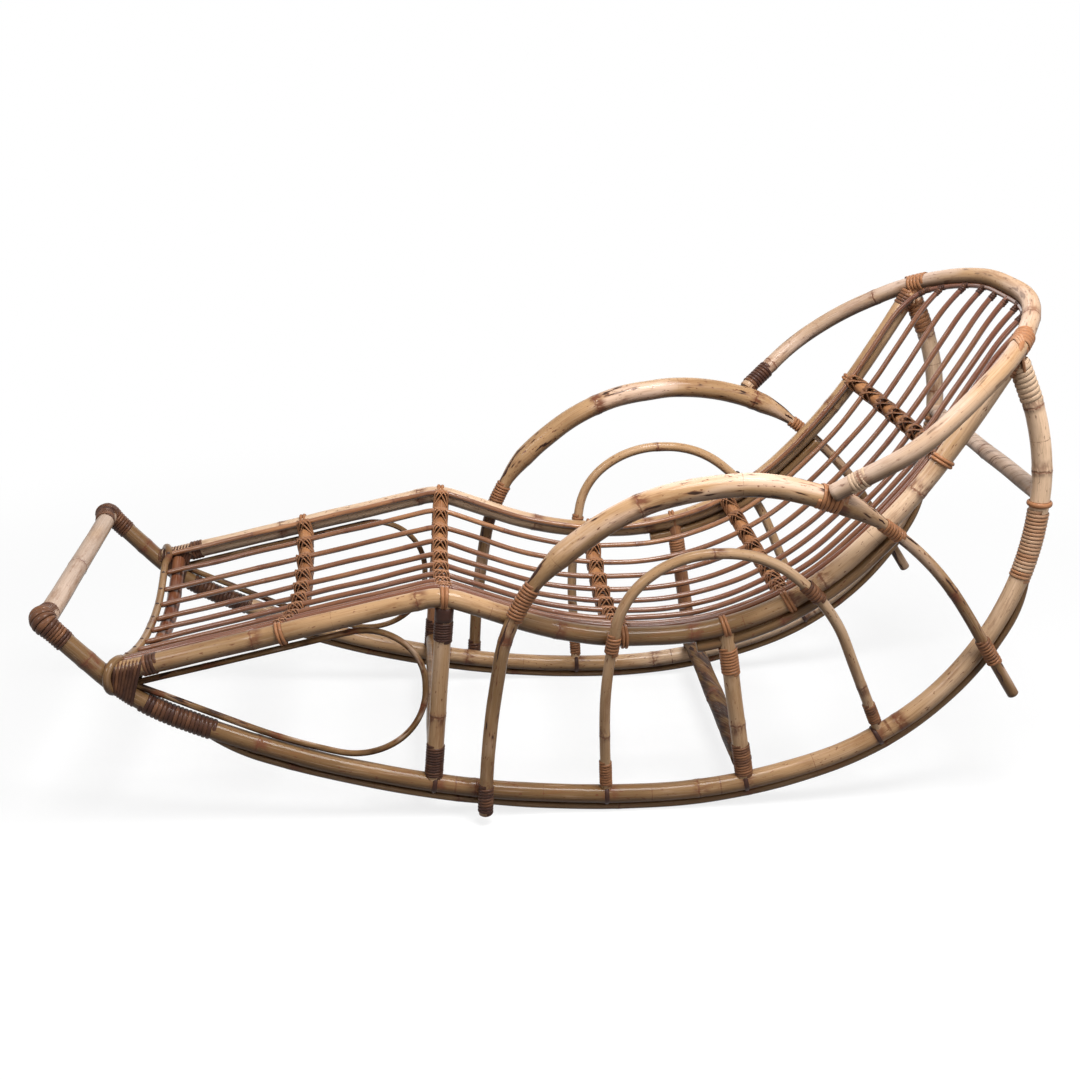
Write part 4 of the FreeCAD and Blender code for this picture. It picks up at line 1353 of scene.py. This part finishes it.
class BuildBackBindings(bpy.types.Operator):
    """Windings of the uprights, the crown and the ends of the back hoop, and ties of the slat tops"""
    bl_idname = "chaise.back_bindings"
    bl_label = "Back Bindings"

    def execute(self, context):
        size = sizes()
        height = size["peel_height"]
        pole, arch = size["frame_cane"], size["back_hoop"]
        form = Form()
        crown = HOOP.where("y", -243.0)
        ring = SIDE.where("z", 503.0, True)
        for side in SIDES:
            post, rail, hoop = side.place(SIDE), side.place(RAIL), side.place(HOOP)
            number = side.number
            tone = 0.45 if side.far else 1.2
            windings(form, post, height, number, (post.length - 68.0, 66.0, 8, pole, -0.2, 0, tone))
            wrap(form, post, ring - 1.0, ring + 1.0, 1.05, pole, 4.2, width=9.0, phase=0.4, seed=number,
                 tone=0.75)
            foot = (32.0, 28.0, 5, arch, 1.1 - height, 2, 1.25)
            if side.far:
                foot = (10.0, 50.0, 8, arch, 0.0, 2, 0.15)
            windings(form, hoop, height, number, foot, (crown - 20.0, 38.0, 5, arch, 0.6, 4, 0.72))
            bind_pair(form, (hoop, crown - 24.0, crown - 10.0, arch + 2.0),
                      (post, post.length - 9.0, post.length - 3.0, pole + 2.0), 3, height, 5.0,
                      seed=number + 8, tone=0.8, facing=side.outward)
            windings(form, rail, height, number, (rail.length - 30.0, 28.0, 5, pole, 0.0, 9, 0.35))
            bind_pair(form, (hoop, crown - 34.0, crown - 20.0, arch),
                      (rail, rail.length - 34.0, rail.length - 16.0, pole), 3, height, 5.0,
                      seed=number + 6, tone=0.7, facing=side.outward)
        peel_piece(form, "back_bindings")
        form = Form()
        inside = crown_route(size)
        half = crown_half(size) - 6.0
        first, last = crown_ends(inside, size)
        for count, y in enumerate(slat_places(size)):
            slat = slat_route(size, y)
            at = inside.where("y", max(-half, min(half, y)))
            wrap(form, slat, slat.length - 15.0, slat.length - 3.0, 3, size["slat"], 0.9, seed=count,
                 tone=0.1)
            wrap(form, inside, max(at - 8.0, first), min(at + 8.0, last), 4, HOOP_BAND, 1.0,
                 seed=count + 3, tone=0.1)
        form.build("slat_top_ties", finishes()["peel"], "peel")
        return {"FINISHED"}


class BuildFootBindings(bpy.types.Operator):
    """Wound corners of the foot bar and bindings of the front joints"""
    bl_idname = "chaise.foot_bindings"
    bl_label = "Foot Bindings"

    def execute(self, context):
        size = sizes()
        height, pole = size["peel_height"], size["frame_cane"]
        corner = profile(SIDE_CORNERS)[0]
        past = SIDE.at(POLE_END - 6.0)[0]
        elbow = rounded([SIDE.at(POLE_END + 46.0)[0], past, past + Vector((0.0, 16.0, 0.0)),
                         corner + Vector((0.0, 46.0, 0.0))], [15.0, 60.0])

        def knob(distance, spoke):
            """Extra turns that pile up round the bend."""
            return spoke * (3.5 * math.exp(-((distance - elbow.length * 0.5) / 14.0) ** 2))

        form = Form()
        for side in SIDES:
            route = side.place(elbow)
            cane(form, route, pole - 0.8, seed=side.number, tone=0.1)
            wrap(form, route, 2.0, elbow.length - 4.0, 19, pole, height, seed=side.number, tone=0.2,
                 facing=UP, lift=knob)
        peel_piece(form, "corner_bindings")
        form = Form()
        foot = SIDE.where("x", RAIL_CORNERS[0][0])
        for side in SIDES:
            rail = side.place(RAIL)
            bind_pair(form, (side.place(SIDE), foot + 8.0, foot + 58.0, pole), (rail, 5.0, 62.0, pole), 10,
                      height, 5.2, seed=side.number, tone=0.14, facing=side.outward)
            windings(form, rail, height, side.number, (62.0, 22.0, 4, pole, 0.0, 3, 0.2))
        peel_piece(form, "front_joint_bindings")
        return {"FINISHED"}


class BuildLashings(bpy.types.Operator):
    """Fishbone lashings of the slats on the bearers and straps over the rails"""
    bl_idname = "chaise.lashings"
    bl_label = "Lashings and Straps"

    def execute(self, context):
        size = sizes()
        thick = size["cross_cane"]
        places = slat_places(size)
        turns = SLAT_COUNT - 1 + 2.0 * LASH_LEAD
        for count, (part, tone) in enumerate(LASH_TONES.items()):
            route, up = bearer_route(size, BEARER_X[part])
            marks = [route.where("y", y) for y in places]
            width, shifts = BACK_LASH_STRIPS if part == "back" else LASH_STRIPS
            form = Form()
            for hand in (1.0, -1.0):

                def over_slat(distance, spoke):
                    """Rise of a strip where it crosses a slat, or a strip of the other hand."""
                    away = min(abs(distance - mark) for mark in marks)
                    level = spoke.dot(up)
                    tall = size["slat"] + 0.6 + thick / 2.0 * (1.0 - level)
                    over = spoke * (0.8 if hand < 0.0 else 0.0)
                    return over + up * (tall * eased(1.3 - away / 9.0) * eased(level * 3.0))

                for shift in shifts:

                    def pace(turn):
                        """Distance along the bearer, one turn from slat to slat."""
                        here = turn - LASH_LEAD
                        low = min(max(int(here), 0), SLAT_COUNT - 2)
                        return marks[low] + (marks[low + 1] - marks[low]) * (here - low) + shift

                    wrap(form, route, 0.0, 1.0, turns, thick, LASH_HEIGHT, width=width, hand=hand,
                         phase=-LASH_LEAD * hand, seed=count + hand + shift, tone=tone, facing=up,
                         lift=over_slat, pace=pace)
            peel_piece(form, part + "_lashing")
        form = Form()
        for side in SIDES:

            def inward(distance, spoke):
                """Lies flat against the rail on the side of the slats."""
                return spoke * (-3.4 * eased(-2.0 * spoke.dot(side.outward)))

            for count, x in enumerate([BEARER_X[part] for part in LASH_TONES] + [REAR_POST_X[0]]):
                at = RAIL.where("x", x)
                wrap(form, side.place(RAIL), at - 5.6, at + 5.6, 2, size["frame_cane"], 4.2, width=6.2,
                     hand=-side.outward.y, phase=0.5, seed=count + side.number, tone=0.6,
                     facing=side.outward, lift=inward)
        peel_piece(form, "rail_straps")
        return {"FINISHED"}


class BuildStage(bpy.types.Operator):
    """Floor, lamps and camera"""
    bl_idname = "chaise.stage"
    bl_label = "Stage"

    def execute(self, context):
        look = context.scene.chaise_stage
        mesh = bpy.data.meshes.new("floor")
        far = FLOOR_REACH
        mesh.from_pydata([(-far, -far, 0.0), (far, -far, 0.0), (far, far, 0.0), (-far, far, 0.0)], [],
                         [(0, 1, 2, 3)])
        mesh.materials.append(floor_finish("Pale floor", look))
        floor = bpy.data.objects.new("floor", mesh)
        context.scene.collection.objects.link(floor)
        for name, (size, place, aim) in LAMPS.items():
            lamp(context, name, getattr(look, name + "_power"), size, place, aim)
        sky = Finish(bpy.data.worlds.new("Studio"))
        plain = {"Color": (1.0, 1.0, 1.0, 1.0)}
        around = sky.node("ShaderNodeBackground", None, {**plain, "Strength": look.sky})
        behind = sky.node("ShaderNodeBackground", None, {**plain, "Strength": 1.0})
        both = sky.node("ShaderNodeMixShader", None, {0: sky.seen(), 1: around, 2: behind})
        sky.node("ShaderNodeOutputWorld", None, {"Surface": both})
        context.scene.world = sky.owner
        context.scene.view_settings.view_transform = "Standard"
        lens = bpy.data.cameras.new("camera")
        lens.lens = CAMERA_LENS
        lens.sensor_width = CAMERA_SENSOR
        camera = bpy.data.objects.new("camera", lens)
        camera.location = CAMERA_PLACE
        camera.rotation_euler = [math.radians(angle) for angle in CAMERA_TURN]
        context.scene.collection.objects.link(camera)
        context.scene.camera = camera
        return {"FINISHED"}


def lamp(context, name, power, size, place, aim):
    """A large soft lamp pointed at a place."""
    light = bpy.data.lights.new(name, "AREA")
    light.energy = power
    light.shape = "DISK"
    light.size = size
    made = bpy.data.objects.new(name, light)
    made.location = place
    made.rotation_euler = (Vector(aim) - Vector(place)).to_track_quat("-Z", "Y").to_euler()
    context.scene.collection.objects.link(made)


class ChaisePanel(bpy.types.Panel):
    """Sizes, colours and build steps of the chaise"""
    bl_idname = "VIEW3D_PT_chaise"
    bl_label = "Rattan Chaise"
    bl_space_type = "VIEW_3D"
    bl_region_type = "UI"
    bl_category = "Chaise"

    def draw(self, context):
        layout = self.layout
        scene = context.scene
        for group in (scene.chaise_sizes, scene.chaise_colours, scene.chaise_stage):
            box = layout.box()
            for key in group.__annotations__:
                box.prop(group, key)
        for step in STEPS:
            layout.operator(step.bl_idname)


STEPS = (BuildStage, BuildRockers, BuildRails, BuildPosts, BuildArms, BuildInnerHoops, BuildScrolls,
         BuildBackHoop, BuildSlatBed, BuildSplices, BuildPostWindings, BuildArmBindings, BuildBackBindings,
         BuildFootBindings, BuildLashings)
CLASSES = (CaneSizes, CaneColours, StageLook) + STEPS + (ChaisePanel,)


def register():
    for kind in CLASSES:
        bpy.utils.register_class(kind)
    bpy.types.Scene.chaise_sizes = PointerProperty(type=CaneSizes)
    bpy.types.Scene.chaise_colours = PointerProperty(type=CaneColours)
    bpy.types.Scene.chaise_stage = PointerProperty(type=StageLook)


def unregister():
    del bpy.types.Scene.chaise_stage
    del bpy.types.Scene.chaise_colours
    del bpy.types.Scene.chaise_sizes
    for kind in reversed(CLASSES):
        bpy.utils.unregister_class(kind)


def main():
    register()
    for step in STEPS:
        group, name = step.bl_idname.split(".")
        getattr(getattr(bpy.ops, group), name)()


if __name__ == "__main__":
    main()
